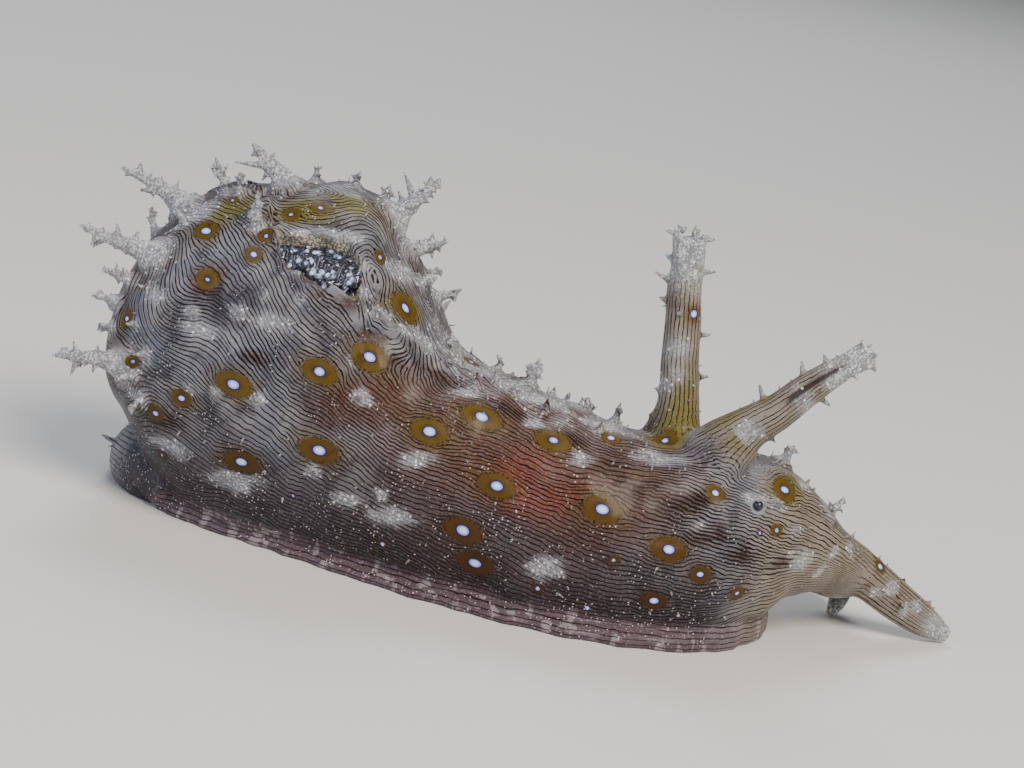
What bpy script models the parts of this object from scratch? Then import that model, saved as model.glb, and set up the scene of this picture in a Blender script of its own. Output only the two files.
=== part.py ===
"""A spiky sea hare, life size, crouched on its foot with its head turned a little away.

The body is a loft of upright sections along a midline that is curved in plan. The head points along +X,
the animal's right side faces -Y, and the flat sole lies on z = 0. Sizes are in millimetres, angles round
a section are in degrees: 0 is the back, 90 the right side, -90 the left side and 180 the belly.
"""

import math
import random

import bmesh
import bpy
import numpy as np
from mathutils import Matrix, Vector

MM = 0.001
GAP = 0.3
SEED = 11

# Trunk sections: x, y of the midline, height of the back, height of the widest level, half width, and
# how far the flanks would reach down from the widest level if the foot didn't end them.
TRUNK = np.array(
    [
        (-22.6, 3.4, 10.3, 9.2, 1.3, 1.3),
        (-22.1, 3.4, 12.1, 9.3, 2.9, 3.2),
        (-20.6, 3.2, 15.3, 9.3, 4.3, 5.2),
        (-18.4, 3.0, 17.5, 9.0, 5.3, 7.8),
        (-14.6, 2.5, 19.0, 8.4, 6.1, 10.2),
        (-11.2, 2.1, 19.8, 8.0, 6.4, 10.8),
        (-8.9, 1.7, 19.3, 7.6, 6.4, 10.6),
        (-7.3, 1.4, 17.3, 7.1, 6.3, 10.2),
        (-5.8, 1.0, 15.3, 6.6, 6.2, 9.8),
        (-4.2, 0.6, 13.0, 6.0, 6.0, 9.4),
        (-2.2, 0.1, 12.0, 5.6, 5.8, 9.0),
        (0.8, -0.5, 11.4, 5.2, 5.6, 8.8),
        (4.2, -1.1, 10.8, 4.9, 5.4, 8.6),
        (7.6, -1.1, 10.4, 4.8, 5.1, 8.4),
        (10.8, -0.5, 10.4, 4.9, 4.8, 7.6),
        (13.6, 0.8, 10.3, 5.3, 4.4, 6.0),
        (15.6, 2.0, 9.6, 5.4, 3.9, 4.2),
        (17.2, 3.2, 8.4, 5.0, 3.6, 3.0),
        (18.8, 4.4, 6.8, 4.4, 3.4, 2.4),
        (20.2, 5.4, 5.6, 3.8, 2.9, 2.0),
        (21.2, 6.1, 4.8, 3.4, 2.1, 1.5),
        (21.8, 6.5, 4.1, 3.2, 1.2, 0.8),
    ]
)
TRUNK_SIDES = 32
TRUNK_SPACINGS = {"hump": 0.85, "neck": 1.0, "head": 0.75}
HUMP_END = -3.0
HEAD_START = 7.2

# Foot sections: x, half width of the sole and height of its rim. Its midline is the trunk's.
FOOT = np.array(
    [
        (-16.9, 3.3, 1.0),
        (-14.0, 4.3, 1.0),
        (-10.0, 5.0, 1.0),
        (-6.0, 5.5, 1.0),
        (-1.0, 5.8, 1.0),
        (4.0, 5.7, 1.0),
        (8.5, 5.3, 1.2),
        (11.5, 4.6, 1.7),
        (12.8, 4.0, 2.1),
        (14.0, 3.3, 2.3),
        (15.0, 2.5, 2.3),
        (16.0, 1.4, 1.9),
        (16.5, 0.6, 1.3),
    ]
)
FOOT_SIDES = 24
FOOT_MIDDLE = 0.5
FOOT_BULGE = 0.75

# Tail sections: x and y of the midline, half width and height.
TAIL = np.array(
    [
        (-17.2, 3.05, 3.2, 4.0),
        (-18.2, 3.4, 2.9, 4.2),
        (-19.2, 4.3, 2.5, 4.0),
        (-19.8, 5.7, 2.1, 3.4),
        (-19.8, 7.4, 1.75, 2.7),
        (-19.0, 9.3, 1.4, 2.1),
        (-17.5, 11.0, 1.05, 1.6),
        (-15.4, 12.4, 0.7, 1.1),
        (-13.2, 13.2, 0.4, 0.6),
    ]
)
TAIL_SIDES = 18
TAIL_MIDDLE = 0.35

# The two side flaps are fused behind and in front, and part over the mantle between them. Rows give x
# and the angles of the right and the left flap's upper edges.
FLAP_START = -18.3
FLAP_END = -4.6
FLAP_LOW_EDGE = 78.0
FLAP_THICKNESS = 1.5
FLAP_RIM = 0.35
FLAP_RIM_SHARE = 0.12
FLAP_EDGES = np.array(
    [
        (-18.6, -8.0, -11.0),
        (-16.6, -4.0, -7.0),
        (-15.2, 11.0, 8.0),
        (-14.2, 29.0, 26.0),
        (-13.4, 41.0, 38.0),
        (-12.6, 47.5, 39.5),
        (-11.4, 51.0, 38.0),
        (-10.1, 52.0, 36.0),
        (-9.4, 50.5, 35.5),
        (-8.8, 49.5, 38.0),
        (-8.3, 48.5, 45.0),
        (-7.6, 46.8, 43.8),
        (-6.8, 43.8, 40.8),
        (-5.5, 35.5, 32.5),
        (-4.2, 24.0, 21.0),
    ]
)
FLAP_POINTS = 10
FLAP_SECTIONS = 23

# The room cut for the flaps: how far it goes out of the skin, and the degrees it has past their low edge.
BED_HEIGHT = 2.5
BED_MARGIN = 3.0

# The mantle between the flaps: its ends, its depth under the trunk's skin, and its margin in degrees.
MANTLE_START = -12.6
MANTLE_END = -8.75
MANTLE_DEPTH = -0.65
MANTLE_LUMP = 0.2
MANTLE_SECTIONS = 10
MANTLE_MARGIN = 2.1

# Gill leaves on the mantle: how many, how far from its ends, their half width, how far each leans along the
# body, and the depth of its root and tip.
GILL_LEAVES = 6
GILL_FROM_ENDS = (1.4, 0.9)
GILL_RADIUS = 0.27
GILL_LEAN = 0.3
GILL_DEPTHS = (-1.0, -0.35)

# Feelers: x, y, z of the midline, half width and half thickness, from the root inside the head outwards.
RHINOPHORE_RIGHT = np.array(
    [
        (11.5, -1.5, 9.3, 1.45, 1.45),
        (12.1, -1.8, 10.9, 1.4, 1.35),
        (13.0, -2.0, 12.2, 1.15, 1.1),
        (14.2, -2.3, 13.4, 1.0, 1.0),
        (15.3, -2.5, 14.8, 0.9, 0.85),
        (16.3, -2.6, 15.9, 0.78, 0.72),
        (17.2, -2.8, 16.8, 0.68, 0.6),
        (18.1, -3.0, 17.6, 0.75, 0.6),
    ]
)
RHINOPHORE_LEFT = np.array(
    [
        (9.2, 0.6, 9.3, 1.6, 1.6),
        (9.2, 0.5, 10.8, 1.45, 1.4),
        (9.1, 0.4, 12.3, 1.15, 1.15),
        (8.7, 0.6, 14.4, 1.05, 1.05),
        (8.4, 0.8, 16.6, 1.0, 1.0),
        (8.1, 1.0, 18.2, 1.05, 0.95),
        (8.0, 1.1, 19.7, 1.0, 0.9),
        (7.8, 1.2, 21.1, 1.15, 0.9),
    ]
)
TENTACLE_RIGHT = np.array(
    [
        (19.2, 3.3, 4.6, 1.6, 1.2),
        (20.9, 3.9, 4.0, 1.45, 1.1),
        (22.5, 4.4, 3.2, 1.25, 0.95),
        (24.1, 4.9, 2.25, 1.15, 0.8),
        (25.7, 5.4, 1.4, 1.0, 0.65),
        (27.0, 5.8, 0.8, 0.7, 0.5),
        (27.8, 6.0, 0.45, 0.35, 0.3),
    ]
)
TENTACLE_LEFT = np.array(
    [
        (19.2, 7.0, 3.9, 1.2, 1.0),
        (20.4, 7.9, 3.1, 1.0, 0.85),
        (21.2, 8.0, 2.2, 0.85, 0.7),
        (21.4, 7.4, 1.4, 0.75, 0.6),
        (21.2, 6.6, 0.8, 0.6, 0.5),
        (20.9, 5.9, 0.4, 0.35, 0.3),
    ]
)
# Each feeler's rows, the side that its slit or its flat face looks to, and whether it is a rolled tube.
FEELERS = {
    "rhinophore_right": (RHINOPHORE_RIGHT, (-0.3, -1.0, 0.4), True),
    "rhinophore_left": (RHINOPHORE_LEFT, (0.2, -0.9, 0.0), True),
    "oral_tentacle_right": (TENTACLE_RIGHT, (0.3, -0.9, 0.2), False),
    "oral_tentacle_left": (TENTACLE_LEFT, (0.6, 0.6, 0.2), False),
}
FEELER_SIDES = 12
SLIT_DEPTH = 0.55
SLIT_START = 0.45
END_DISH = 0.35
END_DISH_SHARE = 0.45

# Small papillae of the feelers and the tail: the limb, how far out along it, and the tip's place from the
# limb's midline there. The last ones of each rhinophore are the horns round its ruffled end.
LIMB_SPIKES = [
    ("rhinophore_left", 0.15, (-1.7, -0.1, 0.4)),
    ("rhinophore_left", 0.28, (-1.7, -0.1, 0.5)),
    ("rhinophore_left", 0.37, (1.6, 0.0, 0.4)),
    ("rhinophore_left", 0.52, (1.6, 0.1, 0.3)),
    ("rhinophore_left", 0.6, (-0.4, -1.5, 0.2)),
    ("rhinophore_left", 0.62, (-1.5, 0.0, 0.4)),
    ("rhinophore_left", 0.68, (-0.2, 1.6, 0.3)),
    ("rhinophore_left", 0.72, (-1.8, 0.0, 0.6)),
    ("rhinophore_left", 0.79, (-1.4, 0.3, 0.9)),
    ("rhinophore_left", 0.8, (1.6, 0.0, 0.5)),
    ("rhinophore_left", 1.0, (-1.5, 0.0, 0.1)),
    ("rhinophore_left", 1.0, (0.2, -0.6, 0.5)),
    ("rhinophore_left", 1.0, (1.4, 0.1, 0.1)),
    ("rhinophore_left", 1.0, (0.5, 1.2, 0.3)),
    ("rhinophore_left", 1.0, (-0.8, 0.9, 0.4)),
    ("rhinophore_right", 0.22, (1.4, -0.4, -1.1)),
    ("rhinophore_right", 0.32, (1.3, -0.2, -0.9)),
    ("rhinophore_right", 0.38, (-0.9, 0.1, 1.7)),
    ("rhinophore_right", 0.5, (-0.4, 1.3, 0.5)),
    ("rhinophore_right", 0.57, (-0.5, 0.1, 1.7)),
    ("rhinophore_right", 0.6, (1.4, 0.0, -0.7)),
    ("rhinophore_right", 0.72, (-0.5, 0.0, 1.2)),
    ("rhinophore_right", 0.86, (0.6, -0.9, -0.5)),
    ("rhinophore_right", 1.0, (-0.6, 0.0, 0.8)),
    ("rhinophore_right", 1.0, (0.6, -0.1, -0.8)),
    ("rhinophore_right", 1.0, (0.1, 1.1, 0.2)),
    ("rhinophore_right", 1.0, (0.3, -0.9, 0.3)),
    ("oral_tentacle_right", 0.34, (0.1, 0.5, 1.6)),
    ("oral_tentacle_right", 0.5, (0.3, 0.2, 1.4)),
    ("oral_tentacle_right", 0.55, (-0.2, -1.5, 0.5)),
    ("oral_tentacle_right", 0.68, (0.5, 0.2, 1.2)),
    ("oral_tentacle_left", 0.4, (1.2, 0.7, 0.6)),
    ("oral_tentacle_left", 0.65, (1.2, 0.1, 0.5)),
    ("tail", 0.22, (-2.7, -0.3, -0.4)),
    ("tail", 0.27, (-3.1, -0.5, 1.0)),
    ("tail", 0.45, (-1.4, 0.2, 2.0)),
    ("tail", 0.52, (-2.2, 0.8, 0.8)),
    ("tail", 0.64, (0.3, 0.4, 1.9)),
    ("tail", 0.72, (-1.2, 1.5, 0.9)),
    ("tail", 0.86, (-0.3, 1.2, 0.9)),
]

EYE_X = 12.7
EYE_ANGLE = 53.0
EYE_RADIUS = 0.33
EYE_GAP = 0.15
EYE_SINK = 0.12

MOUTH = Vector((21.4, 6.2, 3.4))
MOUTH_SIZE = (1.1, 1.3, 1.1)
MOUTH_SLIT = (1.4, 0.3, 1.7)
MOUTH_SLIT_AHEAD = 1.3

# Branched papillae: x and angle of the root on the trunk, the reach of the tip in x, y and z, the radius
# at the root, and twigs as the share of the way up the stem and their reach in x, y and z.
PAPILLAE = [
    (-18.9, 110, (-0.7, -0.6, -0.5), 0.34, []),
    (-19.9, 104, (-0.9, -0.5, -0.4), 0.32, []),
    (-20.7, 104, (-3.6, -0.6, -0.2), 0.78,
     [(0.6, (-0.5, 0.0, 0.9)), (0.6, (-0.3, -0.2, -1.0)), (0.35, (-0.1, 0.1, 0.9)), (0.3, (-0.2, -0.9, 0.0))]),
    (-21.6, 84, (-0.7, -0.3, 0.1), 0.3, []),
    (-21.6, 64, (-1.5, -0.4, 0.2), 0.4, [(0.5, (-0.3, 0.1, 0.5))]),
    (-21.0, 52, (-1.7, -0.3, 0.3), 0.42, [(0.5, (-0.2, 0.1, 0.6))]),
    (-20.2, 42, (-4.2, -0.5, 0.9), 0.85,
     [(0.75, (-0.3, -0.1, -0.8)), (0.62, (-0.8, 0.2, -0.8)), (0.5, (-0.2, 0.1, 0.9)), (0.3, (0.2, 0.1, 0.9)),
      (0.4, (-0.3, -0.9, 0.0))]),
    (-20.9, 8, (-0.6, 0.0, 1.4), 0.36, [(0.4, (-0.5, 0.1, 0.3))]),
    (-19.6, 4, (-3.9, 0.0, 1.5), 0.85,
     [(0.72, (-0.1, 0.1, 1.0)), (0.45, (0.1, 0.2, 0.8)), (0.22, (0.2, 0.1, 1.1)), (0.12, (0.9, 0.0, 0.8)),
      (0.5, (-0.5, -0.8, -0.1))]),
    (-17.5, 3, (-1.0, 0.0, 1.8), 0.42, [(0.5, (0.3, 0.1, 0.6)), (0.4, (-0.6, -0.1, 0.3))]),
    (-16.6, 8, (-0.2, -0.1, 1.1), 0.32, []),
    (-14.2, 4, (-2.3, -0.1, 1.9), 0.8,
     [(0.45, (-2.1, 0.1, -0.2)), (0.75, (-0.5, 0.1, 0.3)), (0.45, (-0.4, 0.0, -0.9)), (0.6, (0.4, 0.1, 0.5))]),
    (-14.7, 34, (-0.3, -0.5, 2.0), 0.4, [(0.5, (0.3, -0.2, 0.4))]),
    (-13.0, -6, (0.0, 0.2, 1.0), 0.34, []),
    (-10.7, -4, (0.1, 0.1, 0.9), 0.34, []),
    (-9.3, -14, (0.2, 0.2, 1.0), 0.36, [(0.4, (-0.4, 0.1, 0.3))]),
    (-8.2, -1, (2.1, 0.0, 2.7), 0.85,
     [(0.45, (-0.9, 0.1, 1.4)), (0.4, (0.9, 0.1, 0.2)), (0.8, (-0.2, 0.2, 0.6)), (0.25, (-0.6, 0.0, 0.9)),
      (0.3, (0.2, -0.9, 0.2))]),
    (-7.1, -4, (2.0, 0.0, 1.0), 0.6,
     [(0.5, (0.1, 0.1, 0.8)), (0.5, (0.3, 0.0, -0.7)), (0.3, (0.1, 0.1, 0.6))]),
    (-6.5, -22, (0.8, 0.2, 0.4), 0.34, []),
    (-6.0, 2, (0.9, -0.1, 0.6), 0.4, [(0.5, (0.1, 0.1, 0.4))]),
    (-5.5, -14, (1.4, 0.1, 0.8), 0.45, [(0.5, (0.5, 0.0, -0.4))]),
    (-3.7, 2, (0.0, 0.0, 0.8), 0.3, []),
    (-1.2, -12, (0.1, 0.0, 0.8), 0.32, []),
    (0.8, -8, (0.3, 0.0, 1.7), 0.5, [(0.45, (-0.6, 0.0, 0.4)), (0.4, (0.5, 0.0, 0.3))]),
    (3.0, -3, (0.1, 0.0, 0.7), 0.3, []),
    (4.2, -6, (0.0, 0.0, 0.9), 0.32, []),
    (5.9, -3, (0.1, 0.0, 1.3), 0.36, []),
    (15.5, 2, (0.5, 0.1, 1.1), 0.5, [(0.5, (-0.3, 0.0, 0.3))]),
    (17.2, 44, (0.6, -0.2, 1.2), 0.4, []),
    (-19.6, -64, (-2.4, 1.6, 0.4), 0.7, [(0.5, (-0.2, 0.2, 0.9)), (0.55, (-0.5, 0.1, -0.8)), (0.3, (0.2, 0.7, 0.4))]),
    (-15.6, -42, (-0.9, 2.6, 1.7), 0.75, [(0.5, (-0.7, 0.3, 0.6)), (0.5, (0.7, 0.4, 0.2)), (0.7, (0.1, 0.1, 0.8))]),
    (-10.2, -46, (0.9, 2.4, 1.6), 0.7, [(0.5, (0.7, 0.3, 0.5)), (0.55, (-0.7, 0.5, 0.2)), (0.75, (0.0, 0.1, 0.7))]),
    (-20.6, -108, (-1.8, 1.0, 0.0), 0.5, [(0.5, (-0.2, 0.3, 0.6))]),
    (14.4, -40, (0.3, 0.9, 0.7), 0.4, []),
]

# Simple papillae strewn over a stretch of skin: the owner's first and last x, the angles, how many, and
# the least and greatest length.
STREWN = [
    (-21.8, -19.2, -100, 100, 12, 0.5, 1.0),
    (-17.6, -5.4, -68, 66, 34, 0.5, 1.1),
    (-17.6, -4.0, 88, 118, 5, 0.4, 0.6),
    (-17.6, -4.0, -118, -88, 7, 0.4, 0.8),
    (-1.8, 6.6, -60, 30, 16, 0.5, 0.9),
    (13.6, 19.2, -60, 70, 9, 0.4, 0.8),
]
STREWN_RADIUS = 0.29
STREWN_APART = 1.5
STREWN_TRIES = 40
STREWN_LEAN = ((-0.4, 0.2), (-0.2, 0.2), (-0.1, 0.4))
ROOT_DEPTH = 0.75
ROOT_STRAIGHT = 0.6
TWIG_RADIUS = 0.24
TWIG_SHARE = 0.4
LIMB_SPIKE_ROOT = 0.5

# How far papillae keep from the partings between nodes, and about how many degrees round the trunk make
# a millimetre.
STREWN_ROOM = 0.4
ROOT_ROOM = 0.2
DEGREES_PER_MM = 8.0

# Colour, as red, green and blue, and roughness of the skin and of what differs from it.
SKIN_FINISH = ((0.36, 0.31, 0.28), 0.4)
FINISHES = {
    "foot": ((0.42, 0.35, 0.4), 0.4),
    "mantle": ((0.03, 0.025, 0.04), 0.2),
    "eye_right": ((0.01, 0.01, 0.02), 0.12),
    "eye_left": ((0.01, 0.01, 0.02), 0.12),
    "rhinophore_right": ((0.5, 0.46, 0.4), 0.45),
    "rhinophore_left": ((0.5, 0.46, 0.4), 0.45),
}
SHARP_ANGLE = math.radians(60)

# Sides, and profile from root to tip, of a branched papilla's stem and of a simple papilla or twig.
STEM = (6, ((0.0, 1.15), (0.28, 0.62), (0.75, 0.36), (1.0, 0.1)))
SIMPLE = (4, ((0.0, 1.15), (0.5, 0.58), (1.0, 0.15)))


def through(rows, per_row=24):
    """Rows on a smooth curve through the given rows."""
    last = len(rows) - 1
    made = []
    for u in np.linspace(0, last, per_row * last + 1):
        i = min(int(u), last - 1)
        t = u - i
        before, start, end, after = (rows[min(max(i + k, 0), last)] for k in (-1, 0, 1, 2))
        bend = 2 * before - 5 * start + 4 * end - after
        twist = 3 * start - before - 3 * end + after
        made.append(0.5 * (2 * start + (end - before) * t + bend * t**2 + twist * t**3))
    return np.array(made)


TRUNK_CURVE = through(TRUNK)
FOOT_CURVE = through(FOOT)
FLAP_CURVE = through(FLAP_EDGES)


def value(curve, x, column):
    return float(np.interp(x, curve[:, 0], curve[:, column]))


def heading(x):
    """The direction in plan in which the midline runs at x, and the direction to the animal's right."""
    step = 0.2
    rise = value(TRUNK_CURVE, x + step, 1) - value(TRUNK_CURVE, x - step, 1)
    forward = Vector((2 * step, rise, 0)).normalized()
    return forward, Vector((forward.y, -forward.x, 0))


def foot_height(x):
    if x > FOOT[-1, 0]:
        return 0.0
    return value(FOOT_CURVE, x, 2)


def trunk_point(x, degrees, grow=0.0):
    """A point on the trunk's skin, or outside it by grow."""
    y, back, widest, half_width, lower = (value(TRUNK_CURVE, x, k) for k in range(1, 6))
    _, right = heading(x)
    angle = math.radians(degrees)
    reach = (back - widest if math.cos(angle) > 0 else lower) + grow
    side = (half_width + grow) * math.sin(angle)
    height = max(widest + reach * math.cos(angle), foot_height(x) + GAP - grow)
    return Vector((x, y, height)) + right * side


def trunk_skin(x, degrees):
    """A point on the trunk's skin and the direction straight out of it."""
    step, turn = 0.2, 3.0
    along = trunk_point(x + step, degrees) - trunk_point(x - step, degrees)
    around = trunk_point(x, degrees + turn) - trunk_point(x, degrees - turn)
    return trunk_point(x, degrees), around.cross(along).normalized()


def finish_surface(obj):
    """Shade the node smooth and give it its own material."""
    obj.data.shade_smooth()
    obj.data.set_sharp_from_angle(angle=SHARP_ANGLE)
    colour, roughness = FINISHES.get(obj.name, SKIN_FINISH)
    material = bpy.data.materials.new(obj.name)
    material.use_nodes = True
    shader = material.node_tree.nodes["Principled BSDF"]
    shader.inputs["Base Color"].default_value = (*colour, 1.0)
    shader.inputs["Roughness"].default_value = roughness
    shader.inputs["Metallic"].default_value = 0.0
    obj.data.materials.append(material)


def finish_mesh(bm, name):
    bmesh.ops.triangulate(bm, faces=bm.faces)
    bmesh.ops.recalc_face_normals(bm, faces=bm.faces)
    mesh = bpy.data.meshes.new(name)
    bm.to_mesh(mesh)
    bm.free()
    obj = bpy.data.objects.new(name, mesh)
    bpy.context.scene.collection.objects.link(obj)
    return obj


def loft(name, rings):
    """A closed body: a disc set on the first ring of points and extruded from ring to ring."""
    bm = bmesh.new()
    ring = bmesh.ops.create_circle(bm, cap_ends=True, segments=len(rings[0]), radius=MM)["verts"]
    cap = ring[0].link_faces[0]
    for number, points in enumerate(rings):
        if number:
            made = set(bmesh.ops.extrude_face_region(bm, geom=[cap])["geom"])
            ring = [next(e.other_vert(v) for e in v.link_edges if e.other_vert(v) in made) for v in ring]
            if number > 1:
                bmesh.ops.delete(bm, geom=[cap], context="FACES_ONLY")
            cap = next(item for item in made if isinstance(item, bmesh.types.BMFace))
        for vert, point in zip(ring, points):
            vert.co = Vector(point) * MM
    return finish_mesh(bm, name)


def boolean(target, tools, operation):
    """Join the tools to the target, or cut them out of it, and remove them."""
    group = bpy.data.collections.new("tools")
    for tool in tools:
        bpy.context.scene.collection.objects.unlink(tool)
        group.objects.link(tool)
    modifier = target.modifiers.new(operation, "BOOLEAN")
    modifier.operation = operation
    modifier.operand_type = "COLLECTION"
    modifier.collection = group
    modifier.solver = "MANIFOLD"
    graph = bpy.context.evaluated_depsgraph_get()
    mesh = bpy.data.meshes.new_from_object(target.evaluated_get(graph))
    target.modifiers.clear()
    target.data = mesh
    for tool in tools:
        bpy.data.objects.remove(tool, do_unlink=True)
    bpy.data.collections.remove(group)


def keep_largest(obj):
    """Drop every closed surface of the node but the largest."""
    bm = bmesh.new()
    bm.from_mesh(obj.data)
    bmesh.ops.triangulate(bm, faces=bm.faces)
    left = set(bm.faces)
    islands = []
    while left:
        island = [left.pop()]
        for face in island:
            for edge in face.edges:
                joined = [other for other in edge.link_faces if other in left]
                left.difference_update(joined)
                island.extend(joined)
        islands.append(island)
    islands.sort(key=len)
    loose = [face for island in islands[:-1] for face in island]
    bmesh.ops.delete(bm, geom=loose, context="FACES")
    bm.to_mesh(obj.data)
    bm.free()


def trunk_piece(name, first_x, last_x, spacing, grow=0.0):
    """The trunk between two upright sections, with sections about this far apart."""
    xs = np.linspace(first_x, last_x, round((last_x - first_x) / spacing) + 1)
    turns = np.linspace(0, 360, TRUNK_SIDES, endpoint=False)
    return loft(name, [[trunk_point(x, turn, grow) for turn in turns] for x in xs])


def foot_piece():
    """A flat sole with a rounded rim."""
    rings = []
    for x, half_width, height in through(FOOT, 2):
        _, right = heading(x)
        middle = Vector((x, value(TRUNK_CURVE, x, 1), 0))
        ring = []
        for turn in np.linspace(0, 2 * math.pi, FOOT_SIDES, endpoint=False):
            up = height * min(max(FOOT_MIDDLE + FOOT_BULGE * math.cos(turn), 0.0), 1.0)
            ring.append(middle + right * (half_width * math.sin(turn)) + Vector((0, 0, up)))
        rings.append(ring)
    return loft("foot", rings)


def tail_piece(name, grow=0.0):
    """A cone with a flat sole, which curls round to the animal's left."""
    rows = through(TAIL, 2)
    rings = []
    for number, (x, y, half_width, height) in enumerate(rows):
        before, after = rows[max(number - 1, 0)], rows[min(number + 1, len(rows) - 1)]
        forward = Vector((after[0] - before[0], after[1] - before[1], 0)).normalized()
        side = Vector((forward.y, -forward.x, 0))
        middle = Vector((x, y, 0)) - forward * (grow if number == 0 else 0)
        ring = []
        for turn in np.linspace(0, 2 * math.pi, TAIL_SIDES, endpoint=False):
            up = max((height + grow) * (TAIL_MIDDLE + (1 - TAIL_MIDDLE) * math.cos(turn)), -grow)
            ring.append(middle + side * ((half_width + grow) * math.sin(turn)) + Vector((0, 0, up)))
        rings.append(ring)
    return loft(name, rings)


def flap_ring(x, inner_edge, outer_edge, low, high, rim=0.0):
    """A slab's section: along its outer face from one edge to the other and back along its inner face."""
    angles = np.linspace(inner_edge, outer_edge, FLAP_POINTS)
    share = np.linspace(0, 1, FLAP_POINTS)
    lift = high + rim * np.exp(-((share / FLAP_RIM_SHARE) ** 2))
    outer = [trunk_point(x, a, out) for a, out in zip(angles, lift)]
    inner = [trunk_point(x, a, low) for a in reversed(angles)]
    return outer + inner


def flap_piece(name, side):
    """One side flap: side is 1 for the animal's right and -1 for its left."""
    column = 1 if side > 0 else 2
    rings = []
    for x in np.linspace(FLAP_START, FLAP_END, FLAP_SECTIONS):
        edge = value(FLAP_CURVE, x, column)
        rings.append(flap_ring(x, edge, side * FLAP_LOW_EDGE, -FLAP_THICKNESS, 0.0, FLAP_RIM))
    return loft(name, rings)


def flap_bed():
    """The room for both flaps and the mantle, to be cut out of the hump."""
    xs = np.linspace(FLAP_START - GAP, FLAP_END + GAP, FLAP_SECTIONS)
    reach = FLAP_LOW_EDGE + BED_MARGIN
    rings = []
    for x in xs:
        angles = np.linspace(reach, -reach, 2 * FLAP_POINTS)
        outer = [trunk_point(x, a, BED_HEIGHT) for a in angles]
        inner = [trunk_point(x, a, -FLAP_THICKNESS - GAP) for a in reversed(angles)]
        rings.append(outer + inner)
    return loft("flap_bed", rings)


def mantle_piece():
    """The lumpy mantle that fills the opening between the flaps, with the gill's leaves laid over it."""
    rings = []
    for number, x in enumerate(np.linspace(MANTLE_START, MANTLE_END, MANTLE_SECTIONS)):
        right, left = opening(x)
        lump = MANTLE_LUMP * math.sin(number * 0.75 * math.pi)
        rings.append(flap_ring(x, right, left, -FLAP_THICKNESS, MANTLE_DEPTH + lump))
    mantle = loft("mantle", rings)
    leaves = []
    first, last = GILL_FROM_ENDS
    for x in np.linspace(MANTLE_START + first, MANTLE_END - last, GILL_LEAVES):
        right, left = opening(x)
        root = trunk_point(x, left + MANTLE_MARGIN, GILL_DEPTHS[0])
        tip = trunk_point(x + GILL_LEAN, right - MANTLE_MARGIN, GILL_DEPTHS[1])
        leaves.append(spike(root, tip, GILL_RADIUS, *SIMPLE))
    boolean(mantle, leaves, "UNION")
    return mantle


def opening(x):
    """The angles between which the mantle shows at x, from the right flap to the left."""
    right, left = value(FLAP_CURVE, x, 1) - MANTLE_MARGIN, value(FLAP_CURVE, x, 2) + MANTLE_MARGIN
    middle = 0.5 * (right + left)
    return max(right, middle + MANTLE_MARGIN), min(left, middle - MANTLE_MARGIN)


def tube(name, rows, up, slit=0.0, dish=0.0):
    """A feeler through rows of x, y, z, half width and half thickness; a slit runs up its outer half."""
    rows = through(rows, 3)
    rings = []
    for number, (x, y, z, width, thickness) in enumerate(rows):
        before, after = rows[max(number - 1, 0)], rows[min(number + 1, len(rows) - 1)]
        forward = Vector(after[:3] - before[:3]).normalized()
        side = forward.cross(up).normalized()
        over = side.cross(forward)
        share = number / (len(rows) - 1)
        ring = []
        for turn in np.linspace(0, 2 * math.pi, FEELER_SIDES, endpoint=False):
            notch = slit * max(share - SLIT_START, 0) / (1 - SLIT_START) if turn == 0 else 0.0
            reach = over * (thickness * math.cos(turn) - notch) + side * (width * math.sin(turn))
            ring.append(Vector((x, y, z)) + reach)
        rings.append(ring)
    if dish:
        centre = sum(rings[-1], Vector()) / FEELER_SIDES - forward * dish
        rings.append([centre + (p - centre) * END_DISH_SHARE for p in rings[-1]])
    for ring in rings:
        for point in ring:
            point.z = max(point.z, 0.0)
    return loft(name, rings)


def spike(root, tip, radius, sides, profile):
    """A tapered point; the profile gives shares of its length and of its radius."""
    forward = (tip - root).normalized()
    side = forward.orthogonal().normalized()
    over = forward.cross(side)
    rings = []
    for share, wide in profile:
        centre = root.lerp(tip, share)
        turns = np.linspace(0, 2 * math.pi, sides, endpoint=False)
        rings.append([centre + (side * math.cos(a) + over * math.sin(a)) * (radius * wide) for a in turns])
    return loft("spike", rings)


def papilla(x, degrees, reach, radius, twigs):
    """The closed pieces of one papilla: a stem sunk in the skin, and its twigs sunk in the stem."""
    base, out = trunk_skin(x, degrees)
    tip = base + Vector(reach)
    stem = tip - base
    root = base - out.lerp(stem.normalized(), 1 - ROOT_STRAIGHT) * ROOT_DEPTH
    pieces = [spike(root, tip, radius, *(STEM if twigs else SIMPLE))]
    for share, twig in twigs:
        start = base + stem * share
        twig_radius = max(TWIG_RADIUS, radius * TWIG_SHARE)
        pieces.append(spike(start, start + Vector(twig), twig_radius, *SIMPLE))
    return pieces


def limb_spike(rows, share, reach):
    """A simple papilla on a limb through rows of x, y, z and radius, rooted just inside the limb's skin."""
    rows = through(rows)
    row = rows[round(share * (len(rows) - 1))]
    middle, reach = Vector(row[:3]), Vector(reach)
    root = middle + reach.normalized() * max(row[3] - LIMB_SPIKE_ROOT, 0)
    return spike(root, middle + reach, STREWN_RADIUS, *SIMPLE)


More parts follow.
